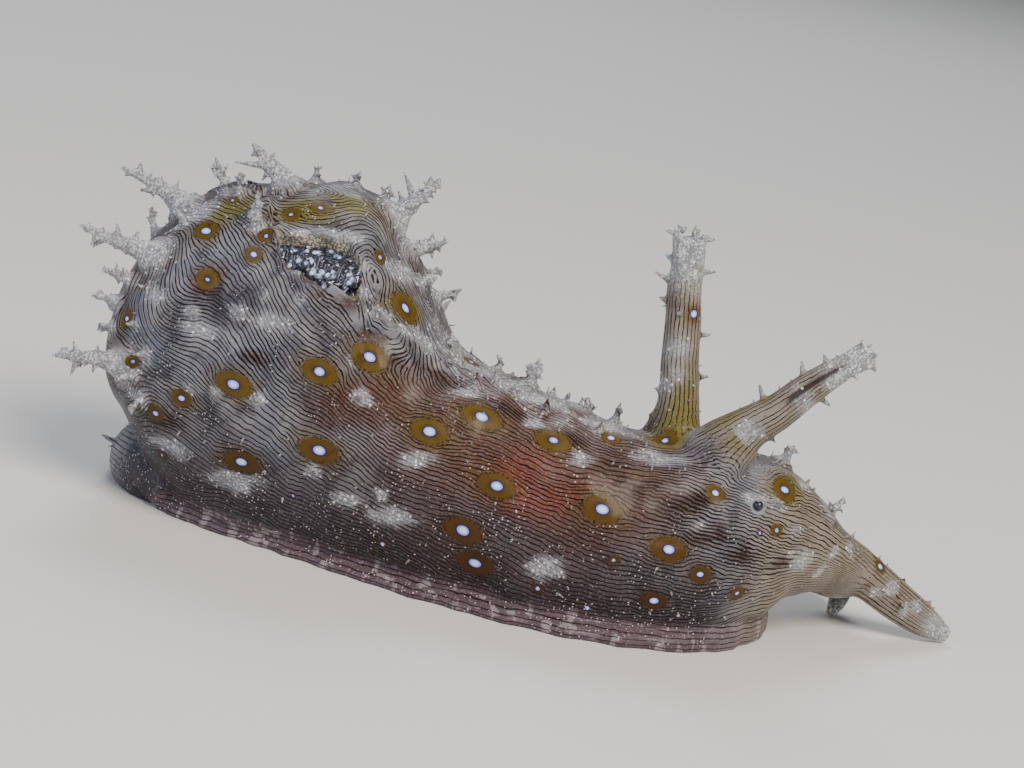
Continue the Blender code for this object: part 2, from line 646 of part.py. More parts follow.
def owner_of(x, degrees, room):
    """The node whose skin is at this place, with room round it, or nothing near a parting."""
    if x < HUMP_END - room:
        turn = room * DEGREES_PER_MM
        if FLAP_START + room < x < FLAP_END - room and abs(degrees) < FLAP_LOW_EDGE - turn:
            if degrees > value(FLAP_CURVE, x, 1) + turn:
                return "parapodium_right"
            if degrees < value(FLAP_CURVE, x, 2) - turn:
                return "parapodium_left"
            return None
        beside = x < FLAP_START - GAP - room or x > FLAP_END + GAP + room
        if beside or abs(degrees) > FLAP_LOW_EDGE + BED_MARGIN + turn:
            return "hump"
        return None
    if HUMP_END + GAP + room < x < HEAD_START - room:
        return "neck"
    if x > HEAD_START + GAP + room:
        return "head"
    return None


def strewn_papillae(taken):
    """Simple papillae at random places that keep clear of one another and of the branched ones."""
    draw = random.Random(SEED)
    made = []
    for first_x, last_x, first_angle, last_angle, count, shortest, longest in STREWN:
        found = 0
        for _ in range(count * STREWN_TRIES):
            x, degrees = draw.uniform(first_x, last_x), draw.uniform(first_angle, last_angle)
            place, out = trunk_skin(x, degrees)
            if found == count or owner_of(x, degrees, STREWN_ROOM) is None:
                continue
            if any((place - other).length < STREWN_APART for other in taken):
                continue
            lean = Vector([draw.uniform(*span) for span in STREWN_LEAN])
            length = draw.uniform(shortest, longest)
            taken.append(place)
            made.append((x, degrees, (out + lean).normalized() * length, STREWN_RADIUS, []))
            found += 1
    return made


def ball(name, centre, radii, turn=0.0, segments=12, rings=8):
    bm = bmesh.new()
    bmesh.ops.create_uvsphere(bm, u_segments=segments, v_segments=rings, radius=MM)
    bmesh.ops.scale(bm, verts=bm.verts, vec=radii)
    bmesh.ops.rotate(bm, verts=bm.verts, matrix=Matrix.Rotation(turn, 3, "Z"))
    bmesh.ops.translate(bm, verts=bm.verts, vec=Vector(centre) * MM)
    return finish_mesh(bm, name)


def main():
    for obj in list(bpy.data.objects):
        bpy.data.objects.remove(obj, do_unlink=True)

    nodes = {}
    ends = {
        "hump": (TRUNK[0, 0], HUMP_END),
        "neck": (HUMP_END + GAP, HEAD_START),
        "head": (HEAD_START + GAP, TRUNK[-1, 0]),
    }
    for name, (first_x, last_x) in ends.items():
        nodes[name] = trunk_piece(name, first_x, last_x, TRUNK_SPACINGS[name])
    nodes["foot"] = foot_piece()
    nodes["tail"] = tail_piece("tail")
    nodes["parapodium_right"] = flap_piece("parapodium_right", 1)
    nodes["parapodium_left"] = flap_piece("parapodium_left", -1)
    nodes["mantle"] = mantle_piece()
    boolean(nodes["hump"], [flap_bed(), tail_piece("tail_bed", GAP)], "DIFFERENCE")

    # The feelers stand on the head's skin, with the usual gap.
    for name, (rows, outwards, rolled) in FEELERS.items():
        shape = (SLIT_DEPTH, END_DISH) if rolled else (0.0, 0.0)
        nodes[name] = tube(name, rows, Vector(outwards), *shape)

    # The mouth: a low mound between the tentacles with an upright slit in it.
    forward, _ = heading(MOUTH.x)
    turn = math.atan2(forward.y, forward.x)
    boolean(nodes["head"], [ball("lips", MOUTH, MOUTH_SIZE, turn)], "UNION")
    slit = ball("mouth_slit", MOUTH + forward * MOUTH_SLIT_AHEAD, MOUTH_SLIT, turn)
    eyes = {}
    sockets = []
    for side, name in ((1, "eye_right"), (-1, "eye_left")):
        place, out = trunk_skin(EYE_X, side * EYE_ANGLE)
        centre = place - out * EYE_SINK
        eyes[name] = ball(name, centre, (EYE_RADIUS,) * 3)
        sockets.append(ball("socket", centre, (EYE_RADIUS + EYE_GAP,) * 3))
    boolean(nodes["head"], sockets + [slit], "DIFFERENCE")
    nodes.update(eyes)
    for name in FEELERS:
        skin = trunk_piece("skin", HEAD_START - GAP, TRUNK[-1, 0] + GAP, TRUNK_SPACINGS["head"], GAP)
        lips = ball("lips_room", MOUTH, [size + GAP for size in MOUTH_SIZE], turn)
        boolean(nodes[name], [skin, lips], "DIFFERENCE")

    # Papillae, rooted in the skin of the node under them.
    placed = list(PAPILLAE)
    placed += strewn_papillae([trunk_skin(row[0], row[1])[0] for row in PAPILLAE])
    growing = {}
    midlines = {name: rows[:, :4] for name, (rows, _, _) in FEELERS.items()}
    midlines["tail"] = np.stack([TAIL[:, 0], TAIL[:, 1], TAIL[:, 3] * TAIL_MIDDLE, TAIL[:, 2]], 1)
    for name, share, reach in LIMB_SPIKES:
        growing.setdefault(name, []).append(limb_spike(midlines[name], share, reach))
    for row in placed:
        growing.setdefault(owner_of(row[0], row[1], ROOT_ROOM), []).extend(papilla(*row))
    for name, pieces in growing.items():
        boolean(nodes[name], pieces, "UNION")
    for obj in nodes.values():
        keep_largest(obj)
        finish_surface(obj)


main()
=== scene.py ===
import math
import random

import bmesh
import bpy
import numpy as np
from mathutils import Matrix, Vector, noise


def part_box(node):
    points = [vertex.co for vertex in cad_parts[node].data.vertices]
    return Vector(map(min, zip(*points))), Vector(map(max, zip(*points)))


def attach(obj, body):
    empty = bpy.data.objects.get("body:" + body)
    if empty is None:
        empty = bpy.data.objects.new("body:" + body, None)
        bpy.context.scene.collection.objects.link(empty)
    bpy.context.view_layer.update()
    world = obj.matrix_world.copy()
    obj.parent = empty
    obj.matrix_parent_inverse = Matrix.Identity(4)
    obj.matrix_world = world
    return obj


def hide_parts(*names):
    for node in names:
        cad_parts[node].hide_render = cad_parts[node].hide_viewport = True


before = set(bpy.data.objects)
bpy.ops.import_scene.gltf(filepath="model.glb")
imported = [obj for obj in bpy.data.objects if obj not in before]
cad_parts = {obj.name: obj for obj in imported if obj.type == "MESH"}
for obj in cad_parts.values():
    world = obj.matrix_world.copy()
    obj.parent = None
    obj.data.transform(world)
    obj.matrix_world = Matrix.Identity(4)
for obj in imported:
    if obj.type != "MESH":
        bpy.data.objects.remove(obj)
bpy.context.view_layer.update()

# Camera
# It looks at the right flank from a little above the back, close up, and is tilted on its own axis, so that
# the ground runs downhill towards the head.
MM = 0.001
LENS_MM = 85.0
SENSOR_MM = 36.0
CAMERA_AWAY = 132.1
CAMERA_LIFT = math.radians(14.0)
CAMERA_TILT = math.radians(12.0)
CAMERA_AIM = Vector((0.0, 0.0, 11.3))


def add_object(name, data):
    """Put an object with this lens, lamp or mesh into the scene."""
    obj = bpy.data.objects.new(name, data)
    bpy.context.scene.collection.objects.link(obj)
    return obj


camera_back = Vector((0, -math.cos(CAMERA_LIFT), math.sin(CAMERA_LIFT)))
camera_side = Vector((1, 0, 0))
camera_up = camera_back.cross(camera_side)
turned_side = camera_side * math.cos(CAMERA_TILT) + camera_up * math.sin(CAMERA_TILT)
turned_up = camera_up * math.cos(CAMERA_TILT) - camera_side * math.sin(CAMERA_TILT)
lens = bpy.data.cameras.new("camera")
lens.lens = LENS_MM
lens.sensor_width = SENSOR_MM
lens.clip_start = 0.002
lens.clip_end = 20.0
camera = add_object("camera", lens)
stand = Matrix((turned_side, turned_up, camera_back)).transposed().to_4x4()
stand.translation = (CAMERA_AIM + camera_back * CAMERA_AWAY) * MM
camera.matrix_world = stand
bpy.context.scene.camera = camera


# Floor and light
# A matt pale table top and three soft lamps: a big one in front of the head, a cold fill at the tail end and
# a rim lamp behind.
def linear(hex_colour):
    """The linear colour of an sRGB hex value such as "8a7f78"."""
    parts = [int(hex_colour[i : i + 2], 16) / 255 for i in (0, 2, 4)]
    return (*[p / 12.92 if p <= 0.04045 else ((p + 0.055) / 1.055) ** 2.4 for p in parts], 1.0)


def add_node(tree, kind, sockets, **settings):
    """Add a node: sockets gives its inputs values or the nodes that feed them, settings its properties."""
    node = tree.nodes.new("ShaderNode" + kind)
    for name, setting in settings.items():
        setattr(node, name, setting)
    for name, given in sockets.items():
        if isinstance(given, bpy.types.Node):
            given = next(output for output in given.outputs if output.enabled)
        if isinstance(given, bpy.types.NodeSocket):
            tree.links.new(given, node.inputs[name])
        else:
            node.inputs[name].default_value = given
    return node


def new_material(name):
    """A new material without any nodes, and its node tree."""
    material = bpy.data.materials.new(name)
    material.use_nodes = True
    tree = material.node_tree
    tree.nodes.clear()
    return material, tree


def mesh_object(name, bm):
    """Make an object of this name from a finished bmesh."""
    mesh = bpy.data.meshes.new(name)
    bm.to_mesh(mesh)
    bm.free()
    return add_object(name, mesh)


FLOOR_WIDTH = 3000.0
bm = bmesh.new()
bmesh.ops.create_circle(bm, cap_ends=True, segments=64, radius=FLOOR_WIDTH / 2 * MM)
floor = mesh_object("floor", bm)

# Matt paint: wall paint, rolled on thin. It gives the eye an even pale ground without a gleam.
matt_paint, tree = new_material("matt_paint")
shader = add_node(tree, "BsdfPrincipled", {"Base Color": linear("d8d6d2"), "Roughness": 0.9})
add_node(tree, "OutputMaterial", {"Surface": shader})
floor.data.materials.append(matt_paint)

# The lamps: name, place, width, power in watts and colour. All of them face the middle of the body.
LAMP_AIM = Vector((0, 3, 9))
LAMPS = [
    ("key_lamp", (120.0, -170.0, 230.0), 150.0, 1.2, "fff4e8"),
    ("fill_lamp", (-220.0, -160.0, 120.0), 180.0, 0.35, "dfe9ff"),
    ("rim_lamp", (-60.0, 420.0, 520.0), 300.0, 2.2, "f2f6ff"),
]
for name, place, width, power, colour in LAMPS:
    light = bpy.data.lights.new(name, "AREA")
    light.shape = "DISK"
    light.size = width * MM
    light.energy = power
    light.color = linear(colour)[:3]
    lamp = add_object(name, light)
    lamp.location = Vector(place) * MM
    lamp.rotation_euler = (LAMP_AIM - Vector(place)).to_track_quat("-Z", "Y").to_euler()
world = bpy.data.worlds.new("studio")
world.use_nodes = True
world.node_tree.nodes["Background"].inputs["Color"].default_value = linear("cfd3d6")
world.node_tree.nodes["Background"].inputs["Strength"].default_value = 0.38
bpy.context.scene.world = world

# Skin
# One soft wet skin over the whole animal: trunk, foot, tail, feelers and branched papillae. It is built as
# closed bodies that run into one another and are then remeshed into a single surface.
# Trunk sections, in millimetres: x, y of the midline, height of the back, height of the widest level, half
# width, and how far the flanks reach down from the widest level.
TRUNK = [
    (-22.6, 3.4, 10.3, 9.2, 1.3, 1.3),
    (-22.1, 3.4, 12.1, 9.3, 2.9, 3.2),
    (-20.6, 3.2, 15.3, 9.3, 4.3, 5.2),
    (-18.4, 3.0, 17.5, 9.0, 5.3, 7.8),
    (-14.6, 2.5, 19.0, 8.4, 6.1, 10.2),
    (-11.2, 2.1, 19.8, 8.0, 6.4, 10.8),
    (-8.9, 1.7, 19.3, 7.6, 6.4, 10.6),
    (-7.3, 1.4, 17.3, 7.1, 6.3, 10.2),
    (-5.8, 1.0, 15.3, 6.6, 6.2, 9.8),
    (-4.2, 0.6, 13.0, 6.0, 6.0, 9.4),
    (-2.2, 0.1, 12.0, 5.6, 5.8, 9.0),
    (0.8, -0.5, 11.4, 5.2, 5.6, 8.8),
    (4.2, -1.1, 10.8, 4.9, 5.4, 8.6),
    (7.6, -1.1, 10.4, 4.8, 5.1, 8.4),
    (10.8, -0.5, 10.4, 4.9, 4.8, 7.6),
    (13.6, 0.8, 10.3, 5.3, 4.4, 6.0),
    (15.6, 2.0, 9.6, 5.4, 3.9, 4.2),
    (17.2, 3.2, 8.4, 5.0, 3.6, 3.0),
    (18.8, 4.4, 6.8, 4.4, 3.4, 2.4),
    (20.2, 5.4, 5.6, 3.8, 2.9, 2.0),
    (21.2, 6.1, 4.8, 3.4, 2.1, 1.5),
    (21.8, 6.5, 4.1, 3.2, 1.2, 0.8),
]
MIDLINE_Y, BACK, WIDEST, HALF_WIDTH, FLANK = range(1, 6)
TRUNK_START, TRUNK_END = TRUNK[0][0], TRUNK[-1][0]
TRUNK_POINTS = 120
TRUNK_STEP = 0.3
BELLY_HEIGHT = 0.45
HEADING_STEP = 0.2


def through(rows, per_row):
    """Rows on a smooth curve through the given rows."""
    rows = np.array(rows)
    last = len(rows) - 1
    made = []
    for u in np.linspace(0, last, per_row * last + 1):
        i = min(int(u), last - 1)
        t = u - i
        before, start, end, after = (rows[min(max(i + k, 0), last)] for k in (-1, 0, 1, 2))
        bend = 2 * before - 5 * start + 4 * end - after
        twist = 3 * start - before - 3 * end + after
        made.append(0.5 * (2 * start + (end - before) * t + bend * t**2 + twist * t**3))
    return np.array(made)


trunk_curve = through(TRUNK, 24)


def along_trunk(x, column):
    """One of the trunk's measures at x."""
    return np.interp(x, trunk_curve[:, 0], trunk_curve[:, column])


def heading(x):
    """The midline's direction in plan at x, as its x and y."""
    rise = along_trunk(x + HEADING_STEP, MIDLINE_Y) - along_trunk(x - HEADING_STEP, MIDLINE_Y)
    length = np.hypot(2 * HEADING_STEP, rise)
    return 2 * HEADING_STEP / length, rise / length


def trunk_points(x, degrees, grow=0.0):
    """Points on the trunk's skin at x and an angle, or at arrays of them, or outside it by grow."""
    forward_x, forward_y = heading(x)
    angle = np.radians(degrees)
    over = np.cos(angle)
    widest = along_trunk(x, WIDEST)
    reach = np.where(over > 0, along_trunk(x, BACK) - widest, along_trunk(x, FLANK)) + grow
    side = (along_trunk(x, HALF_WIDTH) + grow) * np.sin(angle)
    height = np.maximum(widest + reach * over, BELLY_HEIGHT)
    return np.stack([x + forward_y * side, along_trunk(x, MIDLINE_Y) - forward_x * side, height], -1)


def loft(bm, rings):
    """Add a closed body: a disc set on the first ring of points and extruded from ring to ring."""
    ring = bmesh.ops.create_circle(bm, cap_ends=True, segments=len(rings[0]), radius=MM)["verts"]
    cap = ring[0].link_faces[0]
    for number, points in enumerate(rings):
        if number:
            made = set(bmesh.ops.extrude_face_region(bm, geom=[cap])["geom"])
            ring = [next(e.other_vert(v) for e in v.link_edges if e.other_vert(v) in made) for v in ring]
            if number > 1:
                bmesh.ops.delete(bm, geom=[cap], context="FACES_ONLY")
            cap = next(item for item in made if isinstance(item, bmesh.types.BMFace))
        for vert, point in zip(ring, points):
            vert.co = Vector(point) * MM


# The flaps: the edges of the right and left one, as x and angles. They part over the mantle, and elsewhere
# the right one's edge shows as a low ridge. A rim has a height and a width, and all of the relief rises and
# ends between two places along the body.
FLAP_EDGES = [
    (-21.0, -12.0, -14.0), (-18.6, -8.0, -10.0), (-16.6, -4.0, -6.0), (-15.2, 11.0, 9.0),
    (-14.2, 28.5, 26.5), (-13.4, 40.5, 38.5), (-12.6, 47.5, 39.5), (-11.4, 51.0, 38.0), (-10.1, 52.0, 36.0),
    (-9.4, 50.5, 35.5), (-8.8, 49.5, 38.0), (-8.3, 48.5, 45.0), (-7.6, 46.5, 44.5), (-6.8, 43.5, 41.5),
    (-5.5, 35.0, 33.0), (-4.2, 24.0, 22.5), (-2.1, 14.0, 13.0), (1.0, 4.0, 3.0),
]
ARC_PER_DEGREE = 0.15
OPENING_DEPTH = 1.7
OPENING_WALL = 0.55
RIGHT_RIM = (0.45, 0.55)
LEFT_RIM = (0.225, 0.5)
FLAPS_RISE = (-21.5, -18.5)
FLAPS_END = (1.0, -3.0)
flap_curve = through(FLAP_EDGES, 12)


def ramp(values, start, full):
    """0 up to the start, 1 from the full value on, and evenly rising between them."""
    return np.clip((values - start) / (full - start), 0, 1)


def past_flap_edges(x, degrees):
    """How far a point lies outside the right and the left flap's edge, in millimetres round the trunk."""
    right_edge = np.interp(x, flap_curve[:, 0], flap_curve[:, 1])
    left_edge = np.interp(x, flap_curve[:, 0], flap_curve[:, 2])
    return (degrees - right_edge) * ARC_PER_DEGREE, (left_edge - degrees) * ARC_PER_DEGREE


def flap_relief(x, degrees):
    """How far the flaps' rims stand out of the trunk, and the opening sinks into it."""
    past_edges = past_flap_edges(x, degrees)
    relief = -OPENING_DEPTH * ramp(-np.maximum(*past_edges), 0, OPENING_WALL) ** 0.7
    for past, (height, width) in zip(past_edges, (RIGHT_RIM, LEFT_RIM)):
        relief += height * np.exp(-((past / width) ** 2)) * (past > 0)
    return relief * ramp(x, *FLAPS_RISE) * ramp(x, *FLAPS_END)


# The hide is a little uneven all over: low soft swellings, and finer creases on them, each given by its
# width and height.
SWELLINGS = ((2.6, 0.34), (1.1, 0.1), (0.45, 0.04))


def unevenness(point):
    """How far the hide stands out at a point because of its swellings and creases."""
    return sum(high * noise.noise(Vector(point) / wide) for wide, high in SWELLINGS)


body = bmesh.new()
turns = np.linspace(0, 360, TRUNK_POINTS, endpoint=False)
signed = np.where(turns > 180, turns - 360, turns)
trunk_rings = []
for x in np.arange(TRUNK_START, TRUNK_END + TRUNK_STEP / 2, TRUNK_STEP):
    row = np.full(TRUNK_POINTS, x)
    swollen = [unevenness(point) for point in trunk_points(row, signed)]
    trunk_rings.append(trunk_points(row, signed, flap_relief(row, signed) + swollen))
loft(body, trunk_rings)

# The foot: x, half width and height of its rim, a thin frilled margin under the flanks. A frill has a depth,
# as a share of the width, and waves along the body.
FOOT = [
    (-17.6, 3.0, 1.3),
    (-16.9, 3.3, 1.3),
    (-14.0, 4.3, 1.25),
    (-10.0, 5.0, 1.25),
    (-6.0, 5.5, 1.25),
    (-1.0, 5.8, 1.25),
    (4.0, 5.7, 1.3),
    (8.5, 5.3, 1.5),
    (11.5, 4.6, 2.0),
    (12.8, 4.0, 2.4),
    (14.0, 3.3, 2.5),
    (15.0, 2.5, 2.5),
    (16.0, 1.4, 2.0),
    (16.5, 0.6, 1.3),
]
FOOT_POINTS = 56
FOOT_MIDDLE = 0.12
FRILLS = ((0.02, 2.6), (0.012, 5.9))
foot_rings = []
for x, half_width, height in through(FOOT, 6):
    forward_x, forward_y = heading(x)
    frill = 1 + sum(deep * math.sin(waves * x) for deep, waves in FRILLS)
    ring = []
    for turn in np.linspace(0, 2 * math.pi, FOOT_POINTS, endpoint=False):
        side = half_width * frill * math.sin(turn)
        up = height * min(max(FOOT_MIDDLE + math.cos(turn), 0.0), 1.0)
        ring.append((x + forward_y * side, along_trunk(x, MIDLINE_Y) - forward_x * side, up))
    foot_rings.append(ring)
loft(body, foot_rings)

# The tail: x and y of its midline, half width and height; it lies flat and curls to the left.
TAIL = [
    (-17.2, 3.05, 3.2, 4.0),
    (-18.2, 3.4, 2.9, 4.2),
    (-19.2, 4.3, 2.5, 4.0),
    (-19.8, 5.7, 2.1, 3.4),
    (-19.8, 7.4, 1.75, 2.7),
    (-19.0, 9.3, 1.4, 2.1),
    (-17.5, 11.0, 1.05, 1.6),
    (-15.4, 12.4, 0.7, 1.1),
    (-13.2, 13.2, 0.4, 0.6),
]
TAIL_POINTS = 40
TAIL_MIDDLE = 0.35


def forward_at(rows, number, dimensions):
    """The direction of a limb's midline at one of its rows."""
    before = rows[max(number - 1, 0)][:dimensions]
    after = rows[min(number + 1, len(rows) - 1)][:dimensions]
    return Vector(after - before).normalized()


tail_rows = through(TAIL, 5)
tail_rings = []
for number, (x, y, half_width, height) in enumerate(tail_rows):
    forward = forward_at(tail_rows, number, 2)
    ring = []
    for turn in np.linspace(0, 2 * math.pi, TAIL_POINTS, endpoint=False):
        side = half_width * math.sin(turn)
        up = max(height * (TAIL_MIDDLE + (1 - TAIL_MIDDLE) * math.cos(turn)), 0.0)
        ring.append((x + forward.y * side, y - forward.x * side, up))
    tail_rings.append(ring)
loft(body, tail_rings)

# The feelers: the side that the slit faces, and then x, y and z of the midline, half width and half
# thickness, from inside the head outwards. Rhinophores are rolled tubes with a slit up the outer half and a
# ruffled, hollow end; the oral tentacles are broader and flatter, and reach down to the ground.
FEELERS = {
    "rhinophore_right": (
        Vector((-0.3, -1.0, 0.4)),
        [
            (10.9, -1.2, 8.9, 2.2, 1.9), (11.9, -1.7, 10.7, 1.7, 1.5), (13.0, -2.0, 12.2, 1.2, 1.1),
            (14.2, -2.3, 13.4, 1.0, 1.0), (15.3, -2.5, 14.8, 0.9, 0.85), (16.3, -2.6, 15.9, 0.78, 0.72),
            (17.2, -2.8, 16.8, 0.68, 0.6), (18.1, -3.0, 17.6, 0.75, 0.6),
        ],
    ),
    "rhinophore_left": (
        Vector((0.9, 0.3, 0.0)),
        [
            (9.2, 0.6, 9.0, 2.3, 2.1), (9.2, 0.5, 10.7, 1.6, 1.5), (9.1, 0.4, 12.3, 1.15, 1.15),
            (8.7, 0.6, 14.4, 1.05, 1.05), (8.4, 0.8, 16.6, 1.0, 1.0), (8.1, 1.0, 18.2, 1.05, 0.95),
            (8.0, 1.1, 19.7, 1.0, 0.9), (7.8, 1.2, 21.1, 1.15, 0.9),
        ],
    ),
    "oral_tentacle_right": (
        Vector((0.3, -0.9, 0.2)),
        [
            (19.2, 3.3, 4.6, 1.6, 1.2), (20.9, 3.9, 4.0, 1.45, 1.1), (22.5, 4.4, 3.2, 1.25, 0.95),
            (24.1, 4.9, 2.25, 1.15, 0.8), (25.7, 5.4, 1.4, 1.0, 0.65), (27.0, 5.8, 0.8, 0.7, 0.5),
            (27.8, 6.0, 0.45, 0.35, 0.3),
        ],
    ),
    "oral_tentacle_left": (
        Vector((0.6, 0.6, 0.2)),
        [
            (19.2, 7.0, 3.9, 1.2, 1.0), (20.4, 7.9, 3.1, 1.0, 0.85), (21.2, 8.0, 2.2, 0.85, 0.7),
            (21.4, 7.4, 1.4, 0.75, 0.6), (21.2, 6.6, 0.8, 0.6, 0.5), (20.9, 5.9, 0.4, 0.35, 0.3),
        ],
    ),
}
# How deep the slit and the ruffle are, as shares of the thickness, and where along the feeler they come in.
FEELER_POINTS = 48
SLIT_DEPTH = 0.6
SLIT_ALONG = (0.4, 0.65)
SLIT_WIDTH = 0.26
TENTACLE_SLIT = 0.25
RUFFLE_DEPTH = 0.12
RUFFLE_ALONG = (0.8, 1.0)
RUFFLES = 5
RUFFLE_TURN = 0.7
TENTACLE_RUFFLE = 0.05
END_HOLLOW = 0.45
LEAST_HEIGHT = 0.02
for name, (slit_side, rows) in FEELERS.items():
    rows = through(rows, 6)
    rolled = name.startswith("rhinophore")
    rings = []
    for number, (x, y, z, width, thickness) in enumerate(rows):
        forward = forward_at(rows, number, 3)
        side = forward.cross(slit_side).normalized()
        over = side.cross(forward)
        share = number / (len(rows) - 1)
        slit_depth = SLIT_DEPTH * ramp(share, *SLIT_ALONG) if rolled else TENTACLE_SLIT * share
        ruffle = RUFFLE_DEPTH * ramp(share, *RUFFLE_ALONG) if rolled else TENTACLE_RUFFLE
        ring = []
        for turn in np.linspace(-math.pi, math.pi, FEELER_POINTS, endpoint=False):
            notch = slit_depth * math.exp(-((turn / SLIT_WIDTH) ** 2)) * thickness
            swell = 1 + ruffle * math.cos(RUFFLES * turn + RUFFLE_TURN)
            upward = thickness * math.cos(turn) * swell - notch
            reach = over * upward + side * (width * math.sin(turn) * swell)
            point = Vector((x, y, z)) + reach
            point.z = max(point.z, LEAST_HEIGHT)
            ring.append(point)
        rings.append(ring)
    if rolled:
        hollow = sum(rings[-1], Vector()) / FEELER_POINTS - forward * END_HOLLOW
        rings.append([point.lerp(hollow, 0.3) for point in rings[-1]])
        rings.append([point.lerp(hollow, 0.6) for point in rings[-1]])
    loft(body, rings)

# Branched papillae: x and angle of the root on the trunk, the reach of the tip in x, y and z, the radius
# at the root, and twigs as the share of the way up the stem and their reach in x, y and z.
PAPILLAE = [
    (-18.9, 110, (-0.7, -0.6, -0.5), 0.34, []),
    (-19.9, 104, (-0.9, -0.5, -0.4), 0.32, []),
    (-20.7, 104, (-3.6, -0.6, -0.2), 0.78,
     [(0.6, (-0.5, 0.0, 0.9)), (0.6, (-0.3, -0.2, -1.0)), (0.35, (-0.1, 0.1, 0.9)),
      (0.3, (-0.2, -0.9, 0.0))]),
    (-21.6, 84, (-0.7, -0.3, 0.1), 0.3, []),
    (-21.6, 64, (-1.5, -0.4, 0.2), 0.4, [(0.5, (-0.3, 0.1, 0.5))]),
    (-21.0, 52, (-1.7, -0.3, 0.3), 0.42, [(0.5, (-0.2, 0.1, 0.6))]),
    (-20.2, 42, (-4.2, -0.5, 0.9), 0.85,
     [(0.75, (-0.3, -0.1, -0.8)), (0.62, (-0.8, 0.2, -0.8)), (0.5, (-0.2, 0.1, 0.9)), (0.3, (0.2, 0.1, 0.9)),
      (0.4, (-0.3, -0.9, 0.0))]),
    (-20.9, 8, (-0.6, 0.0, 1.4), 0.36, [(0.4, (-0.5, 0.1, 0.3))]),
    (-19.6, 4, (-3.9, 0.0, 1.5), 0.85,
     [(0.72, (-0.1, 0.1, 1.0)), (0.45, (0.1, 0.2, 0.8)), (0.22, (0.2, 0.1, 1.1)), (0.12, (0.9, 0.0, 0.8)),
      (0.5, (-0.5, -0.8, -0.1))]),
    (-17.5, 3, (-1.0, 0.0, 1.8), 0.42, [(0.5, (0.3, 0.1, 0.6)), (0.4, (-0.6, -0.1, 0.3))]),
    (-16.6, 8, (-0.2, -0.1, 1.1), 0.32, []),
    (-14.2, 4, (-2.3, -0.1, 1.9), 0.8,
     [(0.45, (-2.1, 0.1, -0.2)), (0.75, (-0.5, 0.1, 0.3)), (0.45, (-0.4, 0.0, -0.9)),
      (0.6, (0.4, 0.1, 0.5))]),
    (-14.7, 34, (-0.3, -0.5, 2.0), 0.4, [(0.5, (0.3, -0.2, 0.4))]),
    (-13.0, -6, (0.0, 0.2, 1.0), 0.34, []),
    (-10.7, -4, (0.1, 0.1, 0.9), 0.34, []),
    (-9.3, -14, (0.2, 0.2, 1.0), 0.36, [(0.4, (-0.4, 0.1, 0.3))]),
    (-8.2, -1, (2.1, 0.0, 2.7), 0.85,
     [(0.45, (-0.9, 0.1, 1.4)), (0.4, (0.9, 0.1, 0.2)), (0.8, (-0.2, 0.2, 0.6)), (0.25, (-0.6, 0.0, 0.9)),
      (0.3, (0.2, -0.9, 0.2))]),
    (-7.1, -4, (2.0, 0.0, 1.0), 0.6,
     [(0.5, (0.1, 0.1, 0.8)), (0.5, (0.3, 0.0, -0.7)), (0.3, (0.1, 0.1, 0.6))]),
    (-6.5, -22, (0.8, 0.2, 0.4), 0.34, []),
    (-6.0, 2, (0.9, -0.1, 0.6), 0.4, [(0.5, (0.1, 0.1, 0.4))]),
    (-5.5, -14, (1.4, 0.1, 0.8), 0.45, [(0.5, (0.5, 0.0, -0.4))]),
    (-3.7, 2, (0.0, 0.0, 0.8), 0.3, []),
    (-1.2, -12, (0.1, 0.0, 0.8), 0.32, []),
    (0.8, -8, (0.3, 0.0, 1.7), 0.5, [(0.45, (-0.6, 0.0, 0.4)), (0.4, (0.5, 0.0, 0.3))]),
    (3.0, -3, (0.1, 0.0, 0.7), 0.3, []),
    (4.2, -6, (0.0, 0.0, 0.9), 0.32, []),
    (5.9, -3, (0.1, 0.0, 1.3), 0.36, []),
    (15.5, 2, (0.5, 0.1, 1.1), 0.5, [(0.5, (-0.3, 0.0, 0.3))]),
    (17.2, 44, (0.6, -0.2, 1.2), 0.4, []),
    (-19.6, -64, (-2.4, 1.6, 0.4), 0.7,
     [(0.5, (-0.2, 0.2, 0.9)), (0.55, (-0.5, 0.1, -0.8)), (0.3, (0.2, 0.7, 0.4))]),
    (-15.6, -42, (-0.9, 2.6, 1.7), 0.75,
     [(0.5, (-0.7, 0.3, 0.6)), (0.5, (0.7, 0.4, 0.2)), (0.7, (0.1, 0.1, 0.8))]),
    (-10.2, -46, (0.9, 2.4, 1.6), 0.7,
     [(0.5, (0.7, 0.3, 0.5)), (0.55, (-0.7, 0.5, 0.2)), (0.75, (0.0, 0.1, 0.7))]),
    (-20.6, -108, (-1.8, 1.0, 0.0), 0.5, [(0.5, (-0.2, 0.3, 0.6))]),
    (14.4, -40, (0.3, 0.9, 0.7), 0.4, []),
]

LIMB_OVERLAP = 1.12


def limb(bm, points, radii, sides):
    """Add a tapered, bent limb: short truncated cones from point to point, each reaching into the next."""
    for near, far, near_radius, far_radius in zip(points, points[1:], radii, radii[1:]):
        run = far - near
        turn = run.to_track_quat("Z", "Y").to_matrix().to_4x4()
        bmesh.ops.create_cone(
            bm,
            cap_ends=True,
            segments=sides,
            radius1=near_radius * MM,
            radius2=far_radius * MM,
            depth=run.length * LIMB_OVERLAP * MM,
            matrix=Matrix.Translation((near + far) / 2 * MM) @ turn,
        )


def skin_run(x, degrees, step, turn):
    """The way on the trunk's skin from so far behind a point to so far ahead, and from above it to below."""
    x = np.array([x - step, x + step, x, x])
    degrees = np.array([degrees, degrees, degrees - turn, degrees + turn])
    behind, ahead, above, below = (Vector(point) for point in trunk_points(x, degrees))
    return ahead - behind, below - above


